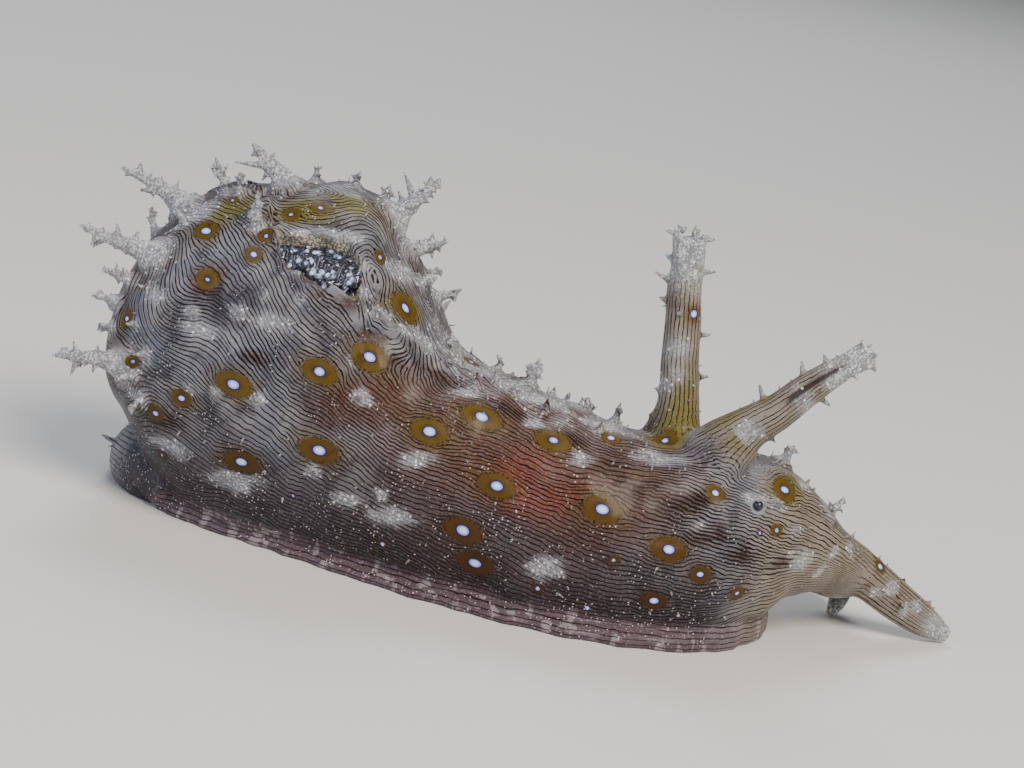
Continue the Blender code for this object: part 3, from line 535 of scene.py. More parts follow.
def skin_tangents(x, degrees):
    """The trunk's skin at a point: how it runs ahead per millimetre of x, and down per degree of angle."""
    ahead, down = skin_run(x, degrees, 0.1, 1.0)
    return ahead / 0.2, down / 2


def root_on_skin(x, degrees):
    """A point on the trunk's skin and the direction straight out of it."""
    ahead, down = skin_run(x, degrees, 0.2, 3.0)
    return Vector(trunk_points(x, degrees)), down.cross(ahead).normalized()


# A stem's shares of its height with its widths there as shares of the root's radius, the first of them under
# the skin. The radii of twigs and knobs are at their root, bend and tip.
STEM_SHARES = (0.0, 0.14, 0.3, 0.5, 0.7, 0.88, 1.0)
STEM_WIDTHS = (0.8, 1.0, 0.86, 0.62, 0.46, 0.34, 0.24, 0.12)
LEAST_STEM = 0.08
SWAY = 0.06
MOUND = (1.5, 1.5, 0.75)
MOUND_SINK = 0.15
TWIG_RADIUS = 0.18
TWIG_SHARE = 0.3
TWIG_TIP = 0.07
TWIG_SWAY = 0.08
KNOBS_PER_MM = 4.6
KNOB_ALONG = (0.15, 0.92)
KNOB_LENGTH = (0.28, 0.52)
KNOB_RADII = (0.19, 0.07)
draw = random.Random(5)
papilla_roots = []
horns = bmesh.new()


def papilla(bm, base, out, reach, radius, twigs):
    """Add one papilla: a stem with a spread root, its twigs, and small knobs along it."""
    sway = Vector([draw.uniform(-SWAY, SWAY) for _ in range(3)]) * reach.length
    stem = [base + reach * share + sway * math.sin(math.pi * share) for share in STEM_SHARES]
    mound = out.to_track_quat("Z", "Y").to_matrix() @ Matrix.Diagonal(MOUND) * radius
    stand = Matrix.Translation((base - out * MOUND_SINK * radius) * MM) @ mound.to_4x4()
    bmesh.ops.create_uvsphere(bm, u_segments=12, v_segments=8, radius=MM, matrix=stand)
    limb(bm, [base - out * radius] + stem, [max(radius * w, LEAST_STEM) for w in STEM_WIDTHS], 10)
    for share, twig in twigs:
        twig = Vector(twig)
        start = base + reach * share
        wide = max(TWIG_RADIUS, radius * TWIG_SHARE)
        bend = start + twig * 0.5 + Vector([draw.uniform(-TWIG_SWAY, TWIG_SWAY) for _ in range(3)])
        limb(bm, [start, bend, start + twig], [wide * 1.2, wide * 0.7, TWIG_TIP], 8)
    for _ in range(round(reach.length * KNOBS_PER_MM)):
        share = draw.uniform(*KNOB_ALONG)
        start = base + reach * share
        lean = Vector([draw.gauss(0, 1) for _ in range(3)])
        lean = (lean - lean.project(reach) * 0.7).normalized()
        length = draw.uniform(*KNOB_LENGTH) + radius * (1 - share) * 0.5
        limb(bm, [start, start + lean * length], KNOB_RADII, 6)
    papilla_roots.append((base, radius))


for x, degrees, reach, radius, twigs in PAPILLAE:
    papilla(horns, *root_on_skin(x, degrees), Vector(reach), radius, twigs)

# Small papillae of the feelers and the tail: how far out along the limb, and the tip's place from the limb's
# midline there. The last ones of each rhinophore are the horns round its ruffled end.
LIMB_SPIKES = {
    "rhinophore_left": [
        (0.15, (-1.7, -0.1, 0.4)), (0.28, (-1.7, -0.1, 0.5)), (0.37, (1.6, 0.0, 0.4)),
        (0.52, (1.6, 0.1, 0.3)), (0.6, (-0.4, -1.5, 0.2)), (0.62, (-1.5, 0.0, 0.4)),
        (0.68, (-0.2, 1.6, 0.3)), (0.72, (-1.8, 0.0, 0.6)), (0.79, (-1.4, 0.3, 0.9)),
        (0.8, (1.6, 0.0, 0.5)), (1.0, (-1.5, 0.0, 0.1)), (1.0, (0.2, -0.6, 0.5)), (1.0, (1.4, 0.1, 0.1)),
        (1.0, (0.5, 1.2, 0.3)), (1.0, (-0.8, 0.9, 0.4)),
    ],
    "rhinophore_right": [
        (0.22, (1.4, -0.4, -1.1)), (0.32, (1.3, -0.2, -0.9)), (0.38, (-0.9, 0.1, 1.7)),
        (0.5, (-0.4, 1.3, 0.5)), (0.57, (-0.5, 0.1, 1.7)), (0.6, (1.4, 0.0, -0.7)),
        (0.72, (-0.5, 0.0, 1.2)), (0.86, (0.6, -0.9, -0.5)), (1.0, (-0.6, 0.0, 0.8)),
        (1.0, (0.6, -0.1, -0.8)), (1.0, (0.1, 1.1, 0.2)), (1.0, (0.3, -0.9, 0.3)),
    ],
    "oral_tentacle_right": [
        (0.34, (0.1, 0.5, 1.6)), (0.5, (0.3, 0.2, 1.4)), (0.55, (-0.2, -1.5, 0.5)), (0.68, (0.5, 0.2, 1.2)),
    ],
    "oral_tentacle_left": [
        (0.4, (1.2, 0.7, 0.6)), (0.65, (1.2, 0.1, 0.5)),
    ],
    "tail": [
        (0.22, (-2.7, -0.3, -0.4)), (0.27, (-3.1, -0.5, 1.0)), (0.45, (-1.4, 0.2, 2.0)),
        (0.52, (-2.2, 0.8, 0.8)), (0.64, (0.3, 0.4, 1.9)), (0.72, (-1.2, 1.5, 0.9)),
        (0.86, (-0.3, 1.2, 0.9)),
    ],
}
LIMB_SPIKE_ROOT = 0.5
LIMB_SPIKE_REACH = 0.98
LIMB_SPIKE_RADII = (0.3, 0.18, 0.13, 0.08)
midlines = {name: through(rows, 24)[:, :4] for name, (_, rows) in FEELERS.items()}
tail_x, tail_y, tail_width, tail_height = through(TAIL, 24).T
midlines["tail"] = np.stack([tail_x, tail_y, tail_height * TAIL_MIDDLE, tail_width], 1)
for name, spikes in LIMB_SPIKES.items():
    for share, reach in spikes:
        row = midlines[name][round(share * (len(midlines[name]) - 1))]
        middle, reach = Vector(row[:3]), Vector(reach)
        root = middle + reach.normalized() * max(row[3] - LIMB_SPIKE_ROOT, 0)
        tip = middle + reach * LIMB_SPIKE_REACH
        limb(horns, [root, root.lerp(tip, 0.45), root.lerp(tip, 0.8), tip], LIMB_SPIKE_RADII, 8)

# Simple papillae strewn over a stretch of skin: its first and last x, its angles, how many, and the least
# and greatest length.
STREWN = [
    (-21.8, -19.2, -100, 100, 12, 0.5, 1.0),
    (-17.6, -5.4, -68, -12, 24, 0.5, 1.1),
    (-17.6, -5.4, 56, 70, 6, 0.3, 0.6),
    (-17.6, -4.0, 88, 118, 5, 0.3, 0.5),
    (-17.6, -4.0, -118, -88, 7, 0.4, 0.8),
    (-1.8, 6.6, -60, 24, 16, 0.5, 0.9),
    (13.6, 19.2, -60, 70, 9, 0.4, 0.7),
]
STREWN_TRIES = 40
STREWN_APART = 1.4
STREWN_LEAN = ((-0.4, 0.2), (-0.2, 0.2), (-0.1, 0.4))
STREWN_ROOT = 0.4
STREWN_RADII = (0.5, 0.23, 0.13, 0.07)
STREWN_RADIUS = 0.22
taken = [base for base, _ in papilla_roots]
for first_x, last_x, first_angle, last_angle, count, shortest, longest in STREWN:
    enough = len(taken) + count
    for _ in range(count * STREWN_TRIES):
        base, out = root_on_skin(draw.uniform(first_x, last_x), draw.uniform(first_angle, last_angle))
        if len(taken) == enough or any((base - other).length < STREWN_APART for other in taken):
            continue
        lean = Vector([draw.uniform(*limits) for limits in STREWN_LEAN])
        tip = base + (out + lean).normalized() * draw.uniform(shortest, longest)
        points = [base - out * STREWN_ROOT, base.lerp(tip, 0.25), base.lerp(tip, 0.6), tip]
        limb(horns, points, STREWN_RADII, 8)
        taken.append(base)
        papilla_roots.append((base, STREWN_RADIUS))

# The lips: a low mound under the tip of the snout, with an upright slit.
LIPS = Vector((21.4, 6.2, 3.4))
LIPS_SIZE = (1.1, 1.3, 1.1)
LIPS_REACH = 2.2
MOUTH_SLIT = (0.28, 0.8)
MOUTH_DEPTH = 0.6
lips_ahead = Vector((*heading(LIPS.x), 0.0))
stand = Matrix.Rotation(math.atan2(lips_ahead.y, lips_ahead.x), 4, "Z") @ Matrix.Diagonal((*LIPS_SIZE, 1.0))
stand.translation = LIPS * MM
bmesh.ops.create_uvsphere(body, u_segments=32, v_segments=20, radius=MM, matrix=stand)

# A fold of skin fills the corner between the foot and the tail.
CORNER = Vector((-17.8, 0.7, 0.9))
CORNER_RADIUS = 0.95
stand = Matrix.Translation(CORNER * MM)
bmesh.ops.create_uvsphere(body, u_segments=24, v_segments=16, radius=CORNER_RADIUS * MM, matrix=stand)

# Remeshing joins all bodies into one surface; the smoothing lets each root flow into the skin.
SKIN_VOXEL = 0.095
SKIN_SOFTENING = 3
SKIN_TRIANGLES = 186000


def apply_modifiers(obj):
    """Give an object the mesh that its modifiers make of it."""
    graph = bpy.context.evaluated_depsgraph_get()
    mesh = bpy.data.meshes.new_from_object(obj.evaluated_get(graph))
    obj.modifiers.clear()
    obj.data = mesh


def join_and_soften(obj, voxel, rounds):
    """Remesh an object's bodies into one surface and smooth it in so many rounds."""
    remesh = obj.modifiers.new("join", "REMESH")
    remesh.mode = "VOXEL"
    remesh.voxel_size = voxel * MM
    smooth = obj.modifiers.new("soften", "SMOOTH")
    smooth.factor = 0.5
    smooth.iterations = rounds
    apply_modifiers(obj)


horns_mesh = bpy.data.meshes.new("horns")
horns.to_mesh(horns_mesh)
horns.free()
body.from_mesh(horns_mesh)
bpy.data.meshes.remove(horns_mesh)
bmesh.ops.recalc_face_normals(body, faces=body.faces)
skin = mesh_object("skin", body)
join_and_soften(skin, SKIN_VOXEL, SKIN_SOFTENING)

# The feelers' roots are smoothed further, so that they rise out of the head like folds of one skin, and the
# slit between the lips is pressed in.
ROOT_REACH = 1.7
ROOT_ROUNDS = 25
bm = bmesh.new()
bm.from_mesh(skin.data)
places = np.array([v.co for v in bm.verts]) / MM
bm.verts.ensure_lookup_table()
for _, rows in FEELERS.values():
    *near_root, width, _ = rows[1]
    close = np.flatnonzero(((places - near_root) ** 2).sum(1) < (ROOT_REACH * width) ** 2)
    root_verts = [bm.verts[i] for i in close]
    for _ in range(ROOT_ROUNDS):
        bmesh.ops.smooth_vert(
            bm, verts=root_verts, factor=0.5, use_axis_x=True, use_axis_y=True, use_axis_z=True
        )
slit_width, slit_height = MOUTH_SLIT
for i in np.flatnonzero(((places - LIPS) ** 2).sum(1) < LIPS_REACH**2):
    off = Vector(places[i]) - LIPS
    if off.dot(lips_ahead) > 0:
        across = off.x * lips_ahead.y - off.y * lips_ahead.x
        pressed = math.exp(-((across / slit_width) ** 2) - (off.z / slit_height) ** 2)
        bm.verts[i].co -= lips_ahead * MOUTH_DEPTH * pressed * MM
bm.to_mesh(skin.data)
bm.free()
thin = skin.modifiers.new("thin", "DECIMATE")
thin.ratio = SKIN_TRIANGLES / (2 * len(skin.data.polygons))
apply_modifiers(skin)

# Ringed spots: x and angle on the trunk, and the ring's half length and half width, then the pale centre's
# radius. Those no longer than a bare dot have no ring. The left flank has nearly the same.
SPOTS = [
    (-17.5, 36, 0.77, 0.66, 0.3), (-16.8, 16, 0.4, 0.3, 0.16), (-14.0, 39, 0.5, 0.44, 0.2),
    (-14.4, 46, 0.55, 0.44, 0.2), (-16.5, 57, 0.66, 0.6, 0.15), (-20.8, 77, 0.4, 0.6, 0.2),
    (-20.0, 97, 0.35, 0.35, 0.15), (-13.8, 86, 1.1, 0.68, 0.34), (-16.5, 98, 0.66, 0.5, 0.2),
    (-17.9, 110, 0.55, 0.5, 0.2), (-17.5, 129, 0.4, 0.35, 0.16), (-9.0, 74, 1.12, 0.68, 0.3),
    (-6.3, 55, 1.08, 0.8, 0.32), (-5.8, 24, 1.05, 0.72, 0.28), (-13.2, 28, 0.6, 0.5, 0.14),
    (-11.7, 24, 0.6, 0.5, 0.15), (-7.8, 26, 0.42, 0.36, 0.17), (-10.0, 55, 0.1, 0.1, 0.2),
    (-2.4, 0, 0.5, 0.4, 0.2), (-8.2, 94, 1.2, 0.7, 0.34), (-12.7, 108, 1.1, 0.65, 0.3),
    (-9.2, 112, 0.1, 0.1, 0.15), (-3.6, 112, 0.1, 0.1, 0.17), (-2.6, 59, 1.12, 0.72, 0.33),
    (-0.5, 40, 1.18, 0.7, 0.33), (3.3, 37, 1.0, 0.66, 0.26), (1.4, 71, 1.12, 0.68, 0.32),
    (6.0, 66, 1.1, 0.82, 0.34), (0.1, 96, 1.2, 0.7, 0.36), (1.1, 106, 1.12, 0.75, 0.34),
    (9.1, 81, 1.1, 0.7, 0.3), (6.9, 91, 0.3, 0.26, 0.16), (10.6, 93, 0.66, 0.5, 0.22),
    (9.0, 105, 0.77, 0.55, 0.25), (12.3, 104, 0.5, 0.42, 0.2), (4.1, 108, 0.3, 0.26, 0.18),
    (6.3, 112, 0.1, 0.1, 0.17), (10.2, 112, 0.1, 0.1, 0.15), (5.8, 20, 0.55, 0.42, 0.2),
    (6.8, 19, 0.1, 0.1, 0.1), (8.7, 3, 0.7, 0.45, 0.2), (8.3, -12, 0.4, 0.33, 0.16),
    (10.8, 46, 0.6, 0.42, 0.22), (14.3, 41, 0.72, 0.82, 0.27), (13.7, 69, 0.42, 0.35, 0.17),
    (12.7, 70, 0.1, 0.1, 0.13),
]
# Spots of the feelers: x, y and z, the ring's radius (0 for none) and the pale centre's radius.
LIMB_SPOTS = [
    (8.95, -0.15, 17.3, 0.0, 0.19), (9.0, 2.0, 17.0, 0.0, 0.16), (22.6, 4.0, 4.3, 0.36, 0.17),
    (15.3, -3.3, 14.6, 0.0, 0.08),
]
BARE_DOT = 0.2


def with_left_side(places, ahead, turned):
    """Places on the right flank and, moved so far ahead and round, the same places on the left one."""
    return places + [(x + ahead, -degrees - turned, *size) for x, degrees, *size in places if degrees > 30]


# The skin's mesh is cut finer round each spot, to hold the crisp edge of its pale centre.
spot_rows = with_left_side(SPOTS, 0.5, 2)
spot_balls = [(trunk_points(x, degrees), 1.9 * centre) for x, degrees, _, _, centre in spot_rows]
spot_balls += [(place, 3.0 * centre) for *place, _, centre in LIMB_SPOTS]
bm = bmesh.new()
bm.from_mesh(skin.data)
for longest in (0.24, 0.12):
    middles = np.array([(e.verts[0].co + e.verts[1].co) / (2 * MM) for e in bm.edges])
    lengths = np.array([e.calc_length() / MM for e in bm.edges])
    close = np.zeros(len(middles), bool)
    for place, reach in spot_balls:
        close |= ((middles - place) ** 2).sum(1) < reach**2
    bm.edges.ensure_lookup_table()
    long_edges = [bm.edges[i] for i in np.flatnonzero(close & (lengths > longest))]
    bmesh.ops.subdivide_edges(bm, edges=long_edges, cuts=1)
bmesh.ops.triangulate(bm, faces=bm.faces)
bm.to_mesh(skin.data)
bm.free()

# Fine papillae: hair-thin pale cones, strewn over the skin, more than half of them shorter than the rest.
# They are part of the skin's own mesh, because they carry its colours.
FINE_PAPILLAE = 620
FINE_LENGTH = (0.14, 0.42)
FINE_RADII = (0.1, 0.02)
FINE_LOWEST = 1.6
SHORT_SHARE = 0.6
draw = random.Random(8)
faces = list(skin.data.polygons)
skin_vertices = len(skin.data.vertices)
bm = bmesh.new()
bm.from_mesh(skin.data)
for face in draw.choices(faces, weights=[face.area for face in faces], k=FINE_PAPILLAE):
    root = face.center / MM
    if root.z < FINE_LOWEST or face.normal.z < -0.3:
        continue
    length = draw.uniform(*FINE_LENGTH) * (SHORT_SHARE if draw.random() < 0.6 else 1.0)
    lean = (face.normal + Vector([draw.gauss(0, 0.25) for _ in range(3)])).normalized()
    limb(bm, [root - lean * 0.1, root + lean * length], FINE_RADII, 5)
bm.to_mesh(skin.data)
bm.free()
skin.data.shade_smooth()
vertices = np.empty(3 * len(skin.data.vertices))
skin.data.vertices.foreach_get("co", vertices)
vertices = vertices.reshape(-1, 3) / MM


def nearest_x(points):
    """Where on the trunk's midline each point lies, as x."""
    x = np.clip(points[:, 0], TRUNK_START, TRUNK_END)
    for _ in range(6):
        forward_x, forward_y = heading(x)
        ahead = (points[:, 0] - x) * forward_x + (points[:, 1] - along_trunk(x, MIDLINE_Y)) * forward_y
        x = np.clip(x + 0.8 * ahead * forward_x, TRUNK_START, TRUNK_END)
    return x


# Where each point of the skin lies on the trunk, as x and angle, and how far it stands proud of it.
skin_x = nearest_x(vertices)
forward_x, forward_y = heading(skin_x)
ahead_of_section = vertices[:, 0] - skin_x
left_of_midline = vertices[:, 1] - along_trunk(skin_x, MIDLINE_Y)
sideways = ahead_of_section * forward_y - left_of_midline * forward_x
lift = vertices[:, 2] - along_trunk(skin_x, WIDEST)
back_height = along_trunk(skin_x, BACK) - along_trunk(skin_x, WIDEST)
side_share = sideways / along_trunk(skin_x, HALF_WIDTH)
lift_share = lift / np.where(lift > 0, back_height, along_trunk(skin_x, FLANK))
skin_angle = np.degrees(np.arctan2(side_share, lift_share))
swell = np.hypot(side_share, lift_share)
proud = (swell - 1) * np.hypot(sideways, lift) / np.maximum(swell, 0.1)
proud -= [unevenness(point) for point in vertices]

# How the dark lines run: x and angle on the trunk, and how many degrees they fall to the right there, as
# the camera sees them. They run along the neck, climb the hump and pass the opening on both sides.
COMBING = [
    (-20.6, 60, 52), (-20.4, 90, 36), (-19.6, 40, 60), (-19.6, 125, 22), (-13.6, 14, 4), (-12.2, 30, 2),
    (-9.4, 20, 4), (-8.6, 28, 20), (-18.9, 71, 42), (-18.5, 107, 28), (-17.6, 41, 62), (-14.8, 132, 20),
    (-14.6, 71, 47), (-13.5, 48, 72), (-16.0, 20, 70), (-12.5, 97, 30), (-10.6, 66, 45), (-10.4, 26, 2),
    (-12.2, 20, 5), (-9.0, 106, 24), (-7.3, 8, 78), (-6.6, 30, 76), (-6.4, 78, 35), (-6.4, 121, 18),
    (-4.7, 12, 60), (-4.4, 55, 42), (-1.9, 20, 35), (-2.1, 98, 22), (-1.1, 77, 26), (2.0, 60, 30),
    (3.5, 34, 32), (4.0, 80, 18), (6.7, 108, 12), (8.1, 66, 24), (7.3, 23, 10), (10.4, 104, 8),
    (11.1, 85, 14), (11.5, 40, 24), (14.0, 60, 32), (14.4, 76, 26), (17.7, 84, 38),
]
LINE_SPACING = 0.23
PATCH = 3.1
PATCH_WIDTH = 2.7
patch_grid = np.meshgrid(np.arange(-25, 25.1, PATCH), np.arange(-27, 27.1, PATCH))
patch_x, patch_arc = (numbers.ravel() for numbers in patch_grid)


def patches(x, degrees):
    """The smooth patches that the flow is made of, at each point, and their slopes in x and in angle."""
    off_x = np.atleast_1d(x)[:, None] - patch_x
    off_arc = np.atleast_1d(degrees)[:, None] * ARC_PER_DEGREE - patch_arc
    height = np.exp(-(off_x**2 + off_arc**2) / (2 * PATCH_WIDTH**2))
    return height, -off_x / PATCH_WIDTH**2 * height, -off_arc / PATCH_WIDTH**2 * height * ARC_PER_DEGREE


def seen(direction):
    """A direction as the camera sees it, right and down."""
    return np.array([direction.dot(turned_side), -direction.dot(turned_up)])


slopes_here, slopes_wanted = [], []


def comb(x, degrees, lean, weight, sign):
    """Ask for lines at this point that lean so far down from the trunk's direction, on this side."""
    ahead, down = skin_tangents(x, degrees)
    along = ahead.normalized()
    across = (down - along * down.dot(along)).normalized() * sign
    rise = across * math.cos(lean) - along * math.sin(lean)
    line = along * math.cos(lean) + across * math.sin(lean)
    _, slope_x, slope_angle = patches(x, degrees)
    slopes_here.extend([slope_x[0] * weight, slope_angle[0] * weight])
    for unit in (ahead, down):
        slopes_wanted.append([rise.dot(unit) * weight, line.dot(unit) * weight])


for x, degrees, fall in COMBING:
    ahead, down = skin_tangents(x, degrees)
    drawn = (math.cos(math.radians(fall)), math.sin(math.radians(fall)))
    share = np.linalg.solve(np.stack([seen(ahead), seen(down)], 1), drawn)
    line = (ahead * share[0] + down * share[1]).normalized()
    along = ahead.normalized()
    across = (down - along * down.dot(along)).normalized()
    lean = math.atan2(line.dot(across), line.dot(along))
    comb(x, degrees, lean, 1.0, 1)
    if degrees > 35:
        comb(x, -degrees, lean, 1.0, -1)
# Everywhere else they are asked, more weakly, to run along the body, and the patches to stay low.
LEVEL_WEIGHT = 0.16
CALM_WEIGHT = 0.02
for x in np.arange(-22, 21.5, 2.0):
    for degrees in range(-150, 151, 15):
        comb(x, degrees, 0.0, LEVEL_WEIGHT, 1 if degrees > 0 else -1)
slopes_here.extend(np.eye(len(patch_x)) * CALM_WEIGHT)
slopes_wanted.extend(np.zeros((len(patch_x), 2)))
heights = np.linalg.lstsq(np.array(slopes_here), np.array(slopes_wanted), rcond=None)[0]
flow_heights = heights[:, 0]

# The flow rises across the lines, and the run goes along them.
flow, run = np.zeros((2, len(vertices)))
for part in np.array_split(np.arange(len(vertices)), 12):
    here, _, _ = patches(skin_x[part], skin_angle[part])
    flow[part], run[part] = (here @ heights).T

# The lines part round each ring and close again behind it. A ring's long axis lies level along the body, and
# is turned a little towards the lines.
PARTING = 0.75
PARTED = 4.0
TOWARDS_LINES = 0.4
RING_DEPTH = 0.8
LONG_RING = 0.5
CENTRE_STRETCH = 1.38
CENTRE_SHARE = 0.68
FAR_OFF = 9.0
ring_distance, centre_distance = np.full((2, len(vertices)), FAR_OFF)
shift = np.zeros(len(vertices))
for x, degrees, length, width, centre in spot_rows:
    _, slope_x, slope_angle = patches(x, degrees)
    ahead, down = skin_tangents(x, degrees)
    out = down.cross(ahead).normalized()
    along = ahead.normalized()
    across = out.cross(along)
    spans = np.array([[ahead.dot(along), 0.0], [down.dot(along), down.dot(across)]])
    steep = np.linalg.solve(spans, [slope_x[0] @ flow_heights, slope_angle[0] @ flow_heights])
    rise = along * steep[0] + across * steep[1]
    line = rise.normalized().cross(out)
    level = Vector((*heading(x), 0.0))
    level = (level - out * level.dot(out)).normalized()
    axis = (level + line * math.copysign(TOWARDS_LINES, line.dot(level))).normalized()
    off = vertices - trunk_points(x, degrees)
    near = np.flatnonzero((off**2).sum(1) < PARTED**2)
    off = off[near]
    u, v, deep = (off @ np.array(direction) for direction in (axis, out.cross(axis), out))
    if length > BARE_DOT:
        far = (u / length) ** 2 + (v / width) ** 2 + (deep / RING_DEPTH) ** 2
        ring_distance[near] = np.minimum(ring_distance[near], np.sqrt(far))
        fade = ramp((off**2).sum(1), PARTED**2, (PARTED / 2) ** 2)
        shift[near] -= PARTING * (off @ np.array(rise)) / np.maximum(far, 1.0) * fade
    stretch = CENTRE_STRETCH if length > LONG_RING else 1.0
    far = np.sqrt((u / stretch) ** 2 + v**2 + 0.3 * deep**2) / (CENTRE_SHARE * centre)
    centre_distance[near] = np.minimum(centre_distance[near], far)
flow += shift
for *place, radius, centre in LIMB_SPOTS:
    nearest = np.argmin(((vertices - place) ** 2).sum(1))
    far = np.linalg.norm(vertices - vertices[nearest], axis=1)
    ring_distance = np.minimum(ring_distance, far / max(radius, 0.01))
    centre_distance = np.minimum(centre_distance, far / centre)

# How closely the lines lie: the flow's slope over each triangle, averaged at the points.
skin.data.calc_loop_triangles()
triangles = np.empty(3 * len(skin.data.loop_triangles), np.int32)
skin.data.loop_triangles.foreach_get("vertices", triangles)
triangles = triangles.reshape(-1, 3)
first, second, third = (vertices[corners] for corners in triangles.T)
normals = np.cross(second - first, third - first)
area = np.maximum(np.linalg.norm(normals, axis=1), 1e-9)
normals /= area[:, None]
second_rise, third_rise = ((flow[corners] - flow[triangles[:, 0]])[:, None] for corners in triangles.T[1:])
slope = second_rise * np.cross(normals, first - third) + third_rise * np.cross(normals, second - first)


def at_points(values):
    """The sum of the triangles' values at each of their points."""
    return sum(np.bincount(corners, values, len(vertices)) for corners in triangles.T)


slopes = np.linalg.norm([at_points(part) for part in slope.T], axis=0)
crowding_at = np.clip(slopes / np.maximum(at_points(area), 1e-9), 0.1, 3)

# The limbs have lines of their own, along their length: the turn about the limb's midline sets them. Their
# ends are white, and so are the papillae that stand on them.
LINES_AROUND = 13
TAIL_LINES_AROUND = 26
UPWARDS = (0.0, 0.0, 1.0)
limb_flow, on_limb, limb_white, limb_horns, at_root, slit_shade_at = np.zeros((6, len(vertices)))
for name, rows in midlines.items():
    middle, size = rows[::3, :3], rows[::3, 3]
    gap = vertices[:, None, :] - middle[None]
    nearest = np.argmin((gap**2).sum(2), 1)
    gap = gap[np.arange(len(vertices)), nearest]
    ahead = np.gradient(middle, axis=0)
    ahead /= np.linalg.norm(ahead, axis=1)[:, None]
    faced = np.array(FEELERS[name][0] if name in FEELERS else UPWARDS)
    over = faced - (ahead @ faced)[:, None] * ahead
    over /= np.linalg.norm(over, axis=1)[:, None]
    gap -= (gap * ahead[nearest]).sum(1)[:, None] * ahead[nearest]
    reach = np.linalg.norm(gap, axis=1)
    turn = np.arccos(np.clip((gap * over[nearest]).sum(1) / np.maximum(reach, 1e-6), -1, 1))
    share = nearest / (len(middle) - 1)
    proportion = reach / size[nearest]
    belongs = ramp(share, 0.1, 0.26) * ramp(proportion, 2.4, 1.4)
    at_root = np.maximum(at_root, ramp(proportion, 2.2, 1.2) * (share < 0.35))
    if name.startswith("rhinophore"):
        # The open slit up each rhinophore is painted near black: painted shade in its groove.
        opened = np.exp(-((turn / 0.3) ** 2)) * ramp(share, 0.46, 0.54) * ramp(share, 0.9, 0.78)
        slit_shade_at = np.maximum(slit_shade_at, opened * belongs)
    mine = belongs > on_limb
    around = LINES_AROUND if name in FEELERS else TAIL_LINES_AROUND
    limb_flow[mine] = turn[mine] / math.pi * around
    run[mine] += share[mine] * belongs[mine] * 12
    on_limb[mine] = belongs[mine]
    limb_white[mine] = ramp(share[mine], 0.62, 0.92)
    limb_horns[mine] = ramp(proportion[mine], 1.08, 1.3)

# On the foot's margin the lines run level.
MARGIN_SPACING = 0.26
on_margin = ramp(vertices[:, 2], 1.5, 1.35) * (vertices[:, 0] > -18) * (1 - on_limb)
limb_flow = np.where(on_limb > 0.02, limb_flow, vertices[:, 2] / MARGIN_SPACING)

# Stains of the feelers: x, y and z, and a radius.
LIMB_OLIVE = [
    (8.9, -0.2, 17.2, 0.7), (9.4, -0.4, 11.8, 1.2), (12.4, -2.6, 11.4, 1.0), (9.0, 2.2, 16.8, 0.7),
    (13.6, -2.4, 14.0, 0.6), (9.6, 1.6, 12.0, 1.2), (22.4, 4.2, 4.4, 0.7),
]
LIMB_BROWN = [
    (7.8, 0.2, 17.6, 0.6), (7.6, 1.0, 17.2, 0.5), (14.6, -2.6, 14.9, 0.5), (9.4, 0.4, 14.8, 0.7),
    (9.2, 0.2, 13.2, 0.5), (22.0, 3.4, 3.2, 0.6), (24.0, 4.2, 2.6, 0.6), (15.8, -2.2, 15.8, 0.4),
]
LIMB_PALE = [
    (8.4, -0.2, 15.2, 1.0), (8.0, 0.0, 12.9, 0.9), (8.7, -0.4, 13.9, 0.7), (7.9, 0.9, 20.0, 1.6),
    (12.9, -3.0, 12.3, 0.9), (15.0, -3.2, 14.9, 0.7), (15.6, -3.2, 14.2, 0.7), (16.8, -3.2, 16.2, 1.0),
    (18.0, -3.0, 17.4, 1.0), (21.5, 2.9, 3.6, 0.45), (22.7, 3.4, 2.9, 0.4), (23.6, 4.0, 3.2, 0.5),
    (24.7, 4.2, 1.9, 0.5), (25.4, 4.8, 2.2, 0.5), (26.8, 5.3, 1.2, 0.9),
]


def limb_stain(places):
    """How strongly each point of the skin lies in one of the round places on the limbs."""
    strength = np.zeros(len(vertices))
    for *place, radius in places:
        strength = np.maximum(strength, np.exp(-((vertices - place) ** 2).sum(1) / radius**2))
    return strength


# Tints: places on the trunk as x and angle, with a half length along the body and a half width in
# millimetres. Dark ones are where the lines run together; pale ones are clouds of white grains.
def trunk_stain(places):
    """How strongly each point of the skin lies in one of the places, on either flank."""
    strength = np.zeros(len(vertices))
    for x, degrees, length, width in with_left_side(places, -0.4, 3):
        ahead, down = (np.array(d.normalized()) for d in skin_tangents(x, degrees))
        off = vertices - trunk_points(x, degrees)
        u = off @ ahead + 0.5 * (off @ down)
        v = off @ down
        far = (u / length) ** 2 + (v / width) ** 2 + (off**2).sum(1) / (9 * length**2)
        strength = np.maximum(strength, np.exp(-far))
    return strength


